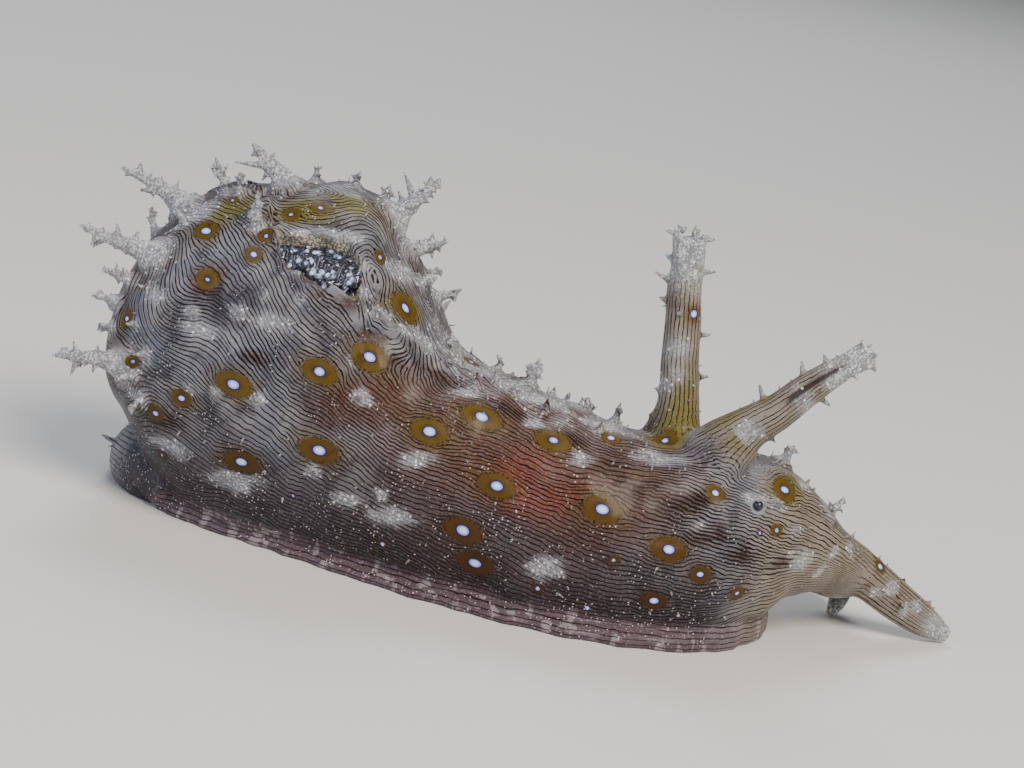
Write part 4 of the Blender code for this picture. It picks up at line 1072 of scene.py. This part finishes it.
BROWN = [
    (-3.1, 28, 1.2, 0.5), (0.7, 27, 1.3, 0.5), (3.8, 33, 1.2, 0.6), (6.1, 40, 1.3, 0.7),
    (7.2, 49, 1.3, 0.6), (9.3, 60, 1.4, 0.7), (10.8, 71, 1.3, 0.7), (12.1, 82, 1.2, 0.6),
    (-5.2, 46, 0.9, 0.6), (-8.6, 52, 0.9, 0.5), (-13.0, 77, 1.0, 0.5), (-16.2, 60, 0.9, 1.1),
    (10.1, 51, 1.1, 0.5), (-17.8, 112, 1.4, 0.8), (-8.3, 51, 1.0, 0.4), (-6.6, 49, 0.8, 0.4),
    (14.4, 92, 1.3, 0.7), (-11.5, 20, 0.8, 0.4),
]
PALE = [
    (-2.7, 74, 1.3, 0.7), (-3.3, 101, 1.8, 0.8), (4.2, 100, 1.5, 0.8), (-1.6, 28, 0.8, 0.5),
    (2.2, 30, 0.8, 0.4), (4.8, 41, 0.8, 0.5), (-8.3, 46, 1.2, 0.6), (-4.6, 22, 1.8, 0.7),
    (0.7, 9, 2.4, 0.9), (5.1, 9, 2.0, 0.7), (-16.1, 74, 1.4, 0.5), (-12.4, 66, 1.6, 0.7),
    (-16.9, 120, 1.5, 0.8), (-13.2, 116, 1.8, 0.8), (-5.7, 102, 1.2, 0.6), (10.2, 66, 0.7, 0.4),
    (12.6, 48, 1.2, 0.5), (15.2, 92, 1.2, 0.8), (8.3, 26, 1.6, 0.7), (-18.6, 20, 1.4, 1.2),
    (-6.6, 14, 1.0, 1.6), (-8.1, 46, 0.9, 0.5), (-6.9, 42, 1.0, 0.5), (-5.6, 34, 1.0, 0.5),
    (-12.2, 37, 1.0, 0.35), (-10.6, 35, 1.0, 0.35), (-9.4, 32, 0.8, 0.5), (-8.4, 38, 0.7, 0.9),
    (17.4, 80, 0.6, 0.45), (14.6, 86, 0.5, 0.4), (16.4, 100, 0.6, 0.5), (-19.2, 66, 0.9, 0.6),
    (-19.4, 112, 0.9, 0.7),
]
OLIVE = [
    (-12.6, 26, 2.2, 1.1), (-10.2, 16, 2.0, 1.0), (-16.6, 22, 1.2, 1.4), (9.2, 2, 1.8, 1.2),
    (14.4, 40, 1.3, 1.1), (-2.4, 2, 1.2, 0.5), (11.6, 12, 1.6, 1.0), (-5.8, 24, 1.0, 1.0),
]
REDDISH = [(2.4, 62, 2.0, 2.0), (3.4, 69, 2.2, 1.6), (3.3, 37, 1.0, 0.7), (-16.5, 57, 0.9, 0.9)]
PURPLE = [(-15.2, 64, 1.6, 1.1), (-14.0, 60, 1.2, 1.0)]
WARM = [(0.5, 45, 6.5, 6.0), (6.0, 60, 5.0, 5.0), (-5.0, 60, 3.0, 3.0)]
brown_at = np.maximum(trunk_stain(BROWN), 0.6 * limb_stain(LIMB_BROWN) * on_limb)
olive_at = np.maximum(trunk_stain(OLIVE), 0.7 * limb_stain(LIMB_OLIVE))
pale_at = np.maximum(trunk_stain(PALE), limb_stain(LIMB_PALE) * on_limb)
reddish_at, purple_at, warm_at = (trunk_stain(places) for places in (REDDISH, PURPLE, WARM))

# The skin is pale on the crest of the neck and round each papilla, and browned just outside the large ones.
crest = np.exp(-((skin_angle / 26) ** 2)) * ramp(skin_x, -6, -4) * ramp(skin_x, 8, 5)
pale_at = np.maximum(pale_at, 0.7 * crest)
browned_at = np.zeros(len(vertices))
for number, (base, radius) in enumerate(papilla_roots):
    away = np.linalg.norm(vertices - np.array(base), axis=1)
    pale_at = np.maximum(pale_at, 0.9 * np.exp(-((away / (1.9 * radius + 0.15)) ** 2)))
    if number < len(PAPILLAE):
        round_root = (away / (1.6 * radius + 0.1) - 1) / 0.35
        browned_at = np.maximum(browned_at, np.exp(-(round_root**2)))

# Whole areas: low on the flanks, the fore end with the feelers, papillae that stand out of the skin, the
# opening's wall and, growing down from its upper edge, the foot's margin.
# Low on the flanks the hide is painted darker, partly its own tone and partly painted shade.
low_flank_shade_at = ramp(vertices[:, 2], 9, 2) * ramp(vertices[:, 0], 15.5, 12) * (1 - on_limb)
# The fore end and the feelers are painted a lighter warm beige, partly their own tone and partly painted
# light.
fore_light_at = np.maximum(ramp(vertices[:, 0], 13, 17), on_limb * (vertices[:, 0] > 0))
raised_at = ramp(proud, 0.3, 0.7) * (1 - on_limb) * (1 - at_root) * ramp(vertices[:, 2], 1.2, 2.2)
raised_at = np.maximum(raised_at, limb_horns * on_limb)
raised_at[skin_vertices:] = np.maximum(raised_at[skin_vertices:], 0.75)
into_opening = -np.maximum(*past_flap_edges(skin_x, skin_angle))
sunken_at = ramp(np.maximum(into_opening + 0.08, -proud * (into_opening > -1.2)), 0, 0.12)
sunken_at *= ramp(np.abs(skin_x + 10.8), 3.2, 2.7)
margin_at = (1.7 - vertices[:, 2]) / 0.9 * ramp(skin_x, -18.4, -17) * (1 - on_limb)
eye_distance = np.full(len(vertices), FAR_OFF)
for name in ("eye_right", "eye_left"):
    low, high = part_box(name)
    eye_middle = np.array((low + high) / (2 * MM))
    eye_distance = np.minimum(eye_distance, np.linalg.norm(vertices - eye_middle, axis=1))


def paint(name, *columns):
    """Keep three values for each point of the skin under one name, for the material to read."""
    layer = skin.data.attributes.new(name, "FLOAT_VECTOR", "POINT")
    layer.data.foreach_set("vector", np.stack(columns, 1).astype(np.float32).ravel())


paint("lines", flow / LINE_SPACING, limb_flow, np.maximum(on_limb, on_margin))
paint("spots", ring_distance, centre_distance, eye_distance)
paint("tints", pale_at, olive_at, reddish_at)
# The third stain is not a stain but the painted shade in the rhinophores' slits.
paint("stains_and_slit_shade", brown_at, purple_at, slit_shade_at)
paint("forms", raised_at, limb_white * on_limb, sunken_at)
paint("lie", crowding_at, margin_at, warm_at)
paint("course", run, flow * 0.45, on_limb * 5)
paint("areas", low_flank_shade_at, fore_light_at, browned_at)

# Wet skin: the slug's living hide, thin and see-through, grown with dark lines, rings and white grains. It
# gives the eye a moist sheen with fine warm and cold greys under it.
wet_skin, tree = new_material("wet_skin")


def painted(name):
    """The values that the skin's points keep under this name, together and one by one."""
    values = add_node(tree, "Attribute", {}, attribute_name=name).outputs["Vector"]
    return values, *add_node(tree, "SeparateXYZ", {0: values}).outputs


_, trunk_line, limb_line, on_feeler = painted("lines")
_, ring_far, centre_far, eye_far = painted("spots")
_, pale, olive, reddish = painted("tints")
_, brown, purple, slit_shade = painted("stains_and_slit_shade")
_, raised, white, sunken = painted("forms")
_, crowding, margin, warm = painted("lie")
_, low_flank_shade, fore_light, browned = painted("areas")
course, *_ = painted("course")
on_skin = add_node(tree, "TexCoord", {}).outputs["Object"]

# Soft noises: the size of their lumps in millimetres, detail and roughness.
NOISES = {
    "clouds": (1.9, 3.0, 0.6),
    "shade": (2.7, 2.0, 0.5),
    "flecks": (0.5, 3.0, 0.65),
    "breaks": (0.4, 2.0, 0.5),
    "shiver": (0.5, 1.5, 0.5),
    "fibres": (0.14, 2.0, 0.6),
    "granules": (0.12, 1.0, 0.5),
}
clouds, shade, flecks, breaks, shiver, fibres, granules = (
    add_node(
        tree, "TexNoise", {"Vector": on_skin, "Scale": 1 / (size * MM), "Detail": detail, "Roughness": rough}
    )
    for size, detail, rough in NOISES.values()
)

# The lines kink about twice in a millimetre, a few neighbours together, and shiver a little on their own.
KINK_REACH = 1.2
SHIVER_REACH = 0.45
kinks = add_node(tree, "TexNoise", {"Vector": course, "Scale": 1.5, "Detail": 1.0, "Roughness": 0.5})
kinks = add_node(tree, "Math", {0: kinks, 1: KINK_REACH, 2: -0.5 * KINK_REACH}, operation="MULTIPLY_ADD")
wander = add_node(tree, "Math", {0: shiver, 1: SHIVER_REACH, 2: kinks}, operation="MULTIPLY_ADD")


def dark_lines(position, width):
    """The lines where this position passes a whole number, of the given half width in spacings."""
    away = add_node(tree, "Math", {0: position, 1: 0.5}, operation="PINGPONG")
    past = add_node(tree, "Math", {0: away, 1: width}, operation="SUBTRACT")
    return add_node(tree, "MapRange", {0: past, 1: 0.055, 2: -0.055}, interpolation_type="SMOOTHSTEP")


# Brown stains and pale clouds are drawn out into streaks along the lines. In a brown stain the lines widen
# until they nearly merge.
stretched = add_node(tree, "VectorMath", {0: course, 1: (0.6, 4.0, 1.0)}, operation="MULTIPLY")
streaks = add_node(tree, "TexNoise", {"Vector": stretched, "Scale": 1.0, "Detail": 3.0, "Roughness": 0.6})
merging = add_node(tree, "MapRange", {0: streaks, 1: 0.25, 2: 0.6}, interpolation_type="SMOOTHSTEP")
merging = add_node(tree, "Math", {0: brown, 1: merging}, operation="MULTIPLY")
line_width = add_node(tree, "Math", {0: breaks, 1: 0.15, 2: 0.085}, operation="MULTIPLY_ADD")
feeler_width = add_node(tree, "Math", {0: line_width, 1: 0.045}, operation="SUBTRACT")
line_width = add_node(tree, "Math", {0: merging, 1: 0.17, 2: line_width}, operation="MULTIPLY_ADD")
crowded = add_node(tree, "Math", {0: crowding, 1: 1.6}, operation="MINIMUM")
line_width = add_node(tree, "Math", {0: line_width, 1: crowded}, operation="MULTIPLY")
in_step = add_node(tree, "Math", {0: wander, 1: crowded}, operation="MULTIPLY")
kinked = add_node(tree, "Math", {0: trunk_line, 1: in_step}, operation="ADD")


def every(times):
    """The dark lines at so many times their number."""
    denser = add_node(tree, "Math", {0: kinked, 1: times}, operation="MULTIPLY")
    width = add_node(tree, "Math", {0: line_width, 1: times}, operation="MULTIPLY")
    return dark_lines(denser, width)


# Where the lines crowd, every other one ends, and where they spread apart, new ones start between them.
lines = every(0.5)
for times, none_there, all_there in ((1.0, 1.5, 1.25), (2.0, 0.72, 0.6), (4.0, 0.36, 0.3)):
    sparse = add_node(tree, "MapRange", {0: crowding, 1: none_there, 2: all_there})
    added = add_node(tree, "Math", {0: every(times), 1: sparse}, operation="MULTIPLY")
    lines = add_node(tree, "Math", {0: lines, 1: added}, operation="MAXIMUM")
directed = add_node(tree, "MapRange", {0: crowding, 1: 0.11, 2: 0.2})
lines = add_node(tree, "Math", {0: lines, 1: directed}, operation="MULTIPLY")
kinked = add_node(tree, "Math", {0: wander, 1: 0.5, 2: limb_line}, operation="MULTIPLY_ADD")
lines = add_node(tree, "Mix", {0: on_feeler, 2: lines, 3: dark_lines(kinked, feeler_width)})

# Where the lines fade: on papillae, in the opening's wall, in pale clouds, at white feeler ends, on the
# foot's margin and round a ring.
haze = add_node(tree, "Math", {0: pale, 1: 0.75, 2: clouds}, operation="MULTIPLY_ADD")
haze = add_node(tree, "Math", {0: streaks, 1: 0.9, 2: haze}, operation="MULTIPLY_ADD")
haze = add_node(tree, "MapRange", {0: haze, 1: 1.0, 2: 1.75}, interpolation_type="SMOOTHSTEP")
ragged_far = add_node(tree, "Math", {0: breaks, 1: 0.3, 2: ring_far}, operation="MULTIPLY_ADD")
outside = add_node(tree, "MapRange", {0: ragged_far, 1: 1.08, 2: 1.24}, interpolation_type="SMOOTHSTEP")
whitened = add_node(tree, "Math", {0: haze, 1: outside}, operation="MULTIPLY")
wavy = add_node(tree, "Math", {0: clouds, 1: 0.6, 2: margin}, operation="MULTIPLY_ADD")
rim = add_node(tree, "MapRange", {0: wavy, 1: 0.35, 2: 1.2}, interpolation_type="SMOOTHSTEP")
for fading, share in ((raised, 0.85), (sunken, 0.85), (whitened, 0.65), (white, 0.75), (rim, 0.25)):
    kept = add_node(tree, "Math", {0: fading, 1: -share, 2: 1.0}, operation="MULTIPLY_ADD")
    lines = add_node(tree, "Math", {0: lines, 1: kept}, operation="MULTIPLY")
lines = add_node(tree, "Math", {0: lines, 1: outside}, operation="MULTIPLY")

# White granules lie thick on papillae and feeler ends, in the pale clouds and in the opening's wall. On the
# foot's margin they stand in short upright flecks.
granules = add_node(tree, "Math", {0: flecks, 1: 0.5, 2: granules}, operation="MULTIPLY_ADD")
granules = add_node(tree, "MapRange", {0: granules, 1: 0.68, 2: 0.9}, interpolation_type="SMOOTHSTEP")
horn_grains, end_grains, cloud_grains, wall_grains = (
    add_node(tree, "Math", {0: granules, 1: where}, operation="MULTIPLY")
    for where in (raised, white, whitened, sunken)
)
flattened = add_node(tree, "VectorMath", {0: on_skin, 1: (1.0, 1.0, 0.3)}, operation="MULTIPLY")
upright_flecks = add_node(tree, "TexNoise", {"Vector": flattened, "Scale": 1 / (0.6 * MM), "Detail": 2.0})
upright_flecks = add_node(
    tree, "MapRange", {0: upright_flecks, 1: 0.52, 2: 0.66}, interpolation_type="SMOOTHSTEP"
)
upright_flecks = add_node(tree, "Math", {0: upright_flecks, 1: rim}, operation="MULTIPLY")


def lay_over(tree, ground, layers):
    """Lay colours over a ground: what each follows, where that starts and is full, its strength and hex."""
    for given, start, full, strongest, colour in layers:
        strength = add_node(
            tree, "MapRange", {0: given, 1: start, 2: full, 4: strongest}, interpolation_type="SMOOTHSTEP"
        )
        ground = add_node(tree, "Mix", {0: strength, 6: ground, 7: linear(colour)}, data_type="RGBA")
    return ground


# The hide's colours on a grey ground.
HIDE_LAYERS = [
    (clouds, 0.35, 0.68, 1.0, "403d46"),
    (shade, 0.48, 0.66, 0.55, "5d6675"),
    (warm, 0.1, 0.9, 0.85, "55321c"),
    (ring_far, 2.1, 1.1, 0.5, "55421a"),
    # Painted light, in part: the fore end and the feelers lightened.
    (fore_light, 0.0, 1.0, 0.6, "8a7c64"),
    # Painted shade, in part: the hide darkened low on the flanks.
    (low_flank_shade, 0.0, 1.0, 0.85, "291e25"),
    (reddish, 0.0, 1.0, 0.6, "74321b"),
    (purple, 0.0, 1.0, 0.75, "2b2134"),
    (olive, 0.05, 0.8, 0.85, "675f1e"),
    (centre_far, 4.0, 1.5, 0.6, "4a2814"),
    (merging, 0.0, 1.0, 0.85, "3b210c"),
    (browned, 0.2, 1.0, 0.55, "4b3019"),
    (rim, 0.0, 1.0, 0.5, "66525a"),
    (upright_flecks, 0.0, 1.0, 0.5, "a39a9c"),
    (whitened, 0.0, 1.0, 0.65, "8d8f96"),
    (fibres, 0.5, 0.75, 0.25, "a5a1a3"),
    (cloud_grains, 0.1, 1.0, 0.5, "d0d2d6"),
    (sunken, 0.0, 1.0, 0.8, "5a523a"),
    (white, 0.1, 0.9, 0.7, "84888b"),
    (lines, 0.0, 1.0, 1.0, "0e0503"),
    (raised, 0.0, 1.0, 0.8, "818288"),
    (horn_grains, 0.0, 1.0, 0.6, "d6d6d7"),
    (end_grains, 0.0, 1.0, 0.75, "dadcdf"),
    (wall_grains, 0.0, 1.0, 0.5, "c9c3b4"),
    (eye_far, 0.62, 0.42, 0.75, "858c96"),
    # Painted shade in the rhinophores' slits.
    (slit_shade, 0.1, 0.8, 0.9, "26100f"),
]
hide = lay_over(tree, linear("817e83"), HIDE_LAYERS)

# Rings: olive gold on the hump, browner low on the flank and darker round the centre, with short dark dashes
# all round their edge.
# Low on the flank the rings are painted darker and browner, partly as painted shade.
gold = add_node(tree, "MapRange", {0: low_flank_shade, 1: 0.0, 2: 0.8})
gold = add_node(tree, "Mix", {0: gold, 6: linear("56420c"), 7: linear("3e2406")}, data_type="RGBA")
gold = lay_over(tree, gold, [(ring_far, 0.7, 0.25, 0.6, "341d05")])
uneven_far = add_node(tree, "Math", {0: breaks, 1: 0.2, 2: ring_far}, operation="MULTIPLY_ADD")
in_ring = add_node(tree, "MapRange", {0: uneven_far, 1: 1.24, 2: 0.94}, interpolation_type="SMOOTHSTEP")
hide = add_node(tree, "Mix", {0: in_ring, 6: hide, 7: gold}, data_type="RGBA")
dashes = add_node(tree, "TexNoise", {"Vector": on_skin, "Scale": 1 / (0.1 * MM), "Detail": 1.0})
dashes = add_node(tree, "MapRange", {0: dashes, 1: 0.5, 2: 0.6, 4: 0.75}, interpolation_type="SMOOTHSTEP")
ring_edge = add_node(tree, "Math", {0: ring_far, 1: 0.99, 2: 0.13}, operation="COMPARE")
dashes = add_node(tree, "Math", {0: dashes, 1: ring_edge}, operation="MULTIPLY")
hide = add_node(tree, "Mix", {0: dashes, 6: hide, 7: linear("160a04")}, data_type="RGBA")


def grains(size_mm, share, where):
    """Scattered round white grains, one in a cell of this size in this share of the cells, where asked."""
    cells = add_node(tree, "TexVoronoi", {"Vector": on_skin, "Scale": 1 / (size_mm * MM)})
    chosen = add_node(tree, "SeparateColor", {0: cells.outputs["Color"]}).outputs[0]
    chosen = add_node(tree, "Math", {0: chosen, 1: share}, operation="LESS_THAN")
    small = add_node(tree, "MapRange", {0: cells, 1: 0.32, 2: 0.18}, interpolation_type="SMOOTHSTEP")
    for factor in (chosen, where, outside):
        small = add_node(tree, "Math", {0: small, 1: factor}, operation="MULTIPLY")
    return small


# White grains: small ones in drifts, more of them low on the flank, and coarse ones in the pale clouds. Over
# them come the blue hem and the pale blue centre of each spot.
drifts = add_node(tree, "Math", {0: low_flank_shade, 1: 0.12, 2: clouds}, operation="MULTIPLY_ADD")
drifts = add_node(tree, "MapRange", {0: drifts, 1: 0.5, 2: 0.66}, interpolation_type="SMOOTHSTEP")
pale_drifts = add_node(tree, "MapRange", {0: whitened, 1: 0.1, 2: 0.6})
fine_grains = grains(0.16, 0.3, drifts)
coarse_grains = grains(0.3, 0.45, pale_drifts)
OVER_LAYERS = [
    (fine_grains, 0.0, 1.0, 0.8, "d9d5d0"),
    (coarse_grains, 0.0, 1.0, 0.85, "e9e6e2"),
    (centre_far, 1.45, 1.2, 0.9, "21133c"),
    (centre_far, 1.16, 0.98, 1.0, "7c98f2"),
    (centre_far, 0.95, 0.5, 1.0, "d6e0fc"),
]
hide = lay_over(tree, hide, OVER_LAYERS)

# Grains stand a little out of the skin and the lines lie a little in it.
relief = add_node(tree, "Math", {0: coarse_grains, 1: 0.6, 2: flecks}, operation="MULTIPLY_ADD")
relief = add_node(tree, "Math", {0: fine_grains, 1: 0.4, 2: relief}, operation="MULTIPLY_ADD")
relief = add_node(tree, "Math", {0: lines, 1: -0.25, 2: relief}, operation="MULTIPLY_ADD")
bump = add_node(tree, "Bump", {"Strength": 0.5, "Distance": 0.09 * MM, "Height": relief})
shader = add_node(
    tree,
    "BsdfPrincipled",
    {
        "Base Color": hide,
        "Roughness": 0.48,
        "Specular IOR Level": 0.16,
        "Normal": bump,
        "Subsurface Weight": 0.04,
        "Subsurface Radius": (1.0, 0.6, 0.4),
        "Subsurface Scale": 0.25 * MM,
        "Coat Weight": 0.12,
        "Coat Roughness": 0.25,
    },
)
add_node(tree, "OutputMaterial", {"Surface": shader})
skin.data.materials.append(wet_skin)
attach(skin, "root")
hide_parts(*[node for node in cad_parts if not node.startswith(("eye", "mantle"))])

# Mantle with the gill
# The soft mass in the opening between the flaps: the dark wet mantle over the thin shell, and the gill's
# leaves beside it. It is a lumpy bean sunk in the skin, with folded leaves laid over it.
MANTLE_X = -10.8
MANTLE_ANGLE = 44.0
MANTLE_DEPTH = -1.7
MANTLE_SIZE = (3.1, 1.9, 1.35)
ahead, down = (direction.normalized() for direction in skin_tangents(MANTLE_X, MANTLE_ANGLE))
out = down.cross(ahead).normalized()
stand = Matrix((ahead, out.cross(ahead), out)).transposed().to_4x4()
stand.translation = Vector(trunk_points(MANTLE_X, MANTLE_ANGLE, MANTLE_DEPTH))
bm = bmesh.new()
bmesh.ops.create_uvsphere(bm, u_segments=96, v_segments=64, radius=1.0)
for vert in bm.verts:
    point = Vector([c * size for c, size in zip(vert.co, MANTLE_SIZE)])
    lumps = 0.2 * noise.noise(point * 1.1) + 0.1 * noise.noise(point * 2.6 + Vector((5, 1, 2)))
    fold = 0.12 * math.sin(3.2 * point.x + 1.3 * point.y)
    vert.co = stand @ (point * (1 + lumps) + vert.co.normalized() * fold) * MM

# The gill's leaves lie side by side over the mantle, each with a few short tufts.
LEAVES = 11
TUFTS = 5
draw = random.Random(3)
for number in range(LEAVES):
    share = number / (LEAVES - 1)
    start = stand @ Vector((-2.2 + 4.4 * share, 0.95 + 0.2 * math.sin(5 * share), 0.75))
    bend = stand @ Vector((-2.1 + 4.4 * share, 0.2 + draw.uniform(-0.3, 0.3), 1.4))
    end = stand @ Vector((-1.9 + 4.1 * share, -0.6 + draw.uniform(-0.3, 0.3), 1.2))
    limb(bm, [start, bend, end], [0.3, 0.22, 0.14], 10)
    for _ in range(TUFTS):
        root = bend.lerp(end, draw.random())
        lean = Vector([draw.uniform(-1, 1) for _ in range(3)]).normalized()
        limb(bm, [root, root + lean * 0.32], [0.13, 0.07], 8)
MANTLE_VOXEL = 0.07
MANTLE_SOFTENING = 2
mantle = mesh_object("mantle_and_gill", bm)
join_and_soften(mantle, MANTLE_VOXEL, MANTLE_SOFTENING)
mantle.data.shade_smooth()

# Gill flesh: dark wet membrane with painted blue-white highlights. It gives the eye sharp wet glints on near
# black.
gill_flesh, tree = new_material("gill_flesh")
on_gill = add_node(tree, "TexCoord", {}).outputs["Object"]
cells = add_node(tree, "TexVoronoi", {"Vector": on_gill, "Scale": 1 / (0.46 * MM)})
patchy, ragged, speckled = (
    add_node(tree, "TexNoise", {"Vector": on_gill, "Scale": 1 / (size * MM)}) for size in (0.9, 0.3, 0.15)
)
# The blue-white blotches are painted highlights.
highlight_blotch = add_node(tree, "Math", {0: ragged, 1: 0.5, 2: cells}, operation="MULTIPLY_ADD")
highlight_blotch = add_node(tree, "MapRange", {0: highlight_blotch, 1: 0.68, 2: 0.45}, interpolation_type="SMOOTHSTEP")
patchy = add_node(tree, "MapRange", {0: patchy, 1: 0.38, 2: 0.55})
highlight_blotch = add_node(tree, "Math", {0: highlight_blotch, 1: patchy}, operation="MULTIPLY")
FLESH_LAYERS = [
    (ragged, 0.4, 0.7, 0.7, "363447"),
    (speckled, 0.52, 0.66, 0.6, "64708c"),
    (highlight_blotch, 0.0, 0.6, 0.8, "8fa3cf"),
    (highlight_blotch, 0.5, 1.0, 0.9, "e4ebfb"),
]
flesh = lay_over(tree, linear("15121b"), FLESH_LAYERS)
relief = add_node(tree, "Math", {0: highlight_blotch, 1: speckled}, operation="ADD")
bump = add_node(tree, "Bump", {"Strength": 0.6, "Distance": 0.1 * MM, "Height": relief})
shader = add_node(
    tree,
    "BsdfPrincipled",
    {"Base Color": flesh, "Roughness": 0.22, "Normal": bump, "Coat Weight": 1.0, "Coat Roughness": 0.05},
)
add_node(tree, "OutputMaterial", {"Surface": shader})
mantle.data.materials.append(gill_flesh)
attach(mantle, "root")
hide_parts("mantle")

# Eyes
# Tiny black beads just under the skin of the cheeks, smooth and wet; each is a small ball sunk to half.
# Eye lens: clear living lens over a black cup. It gives the eye a small sharp glint.
eye_lens, tree = new_material("eye_lens")
shader = add_node(
    tree,
    "BsdfPrincipled",
    {"Base Color": linear("1b1a2b"), "Roughness": 0.35, "Coat Weight": 0.4, "Coat Roughness": 0.12},
)
add_node(tree, "OutputMaterial", {"Surface": shader})
EYE_SHARE = 0.44
for name in ("eye_right", "eye_left"):
    low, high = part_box(name)
    radius = min(high - low) * EYE_SHARE
    stand = Matrix.Translation((low + high) / 2)
    bm = bmesh.new()
    bmesh.ops.create_uvsphere(bm, u_segments=32, v_segments=20, radius=radius, matrix=stand)
    eye = mesh_object(name + "_bead", bm)
    eye.data.shade_smooth()
    eye.data.materials.append(eye_lens)
    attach(eye, "root")
    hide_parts(name)
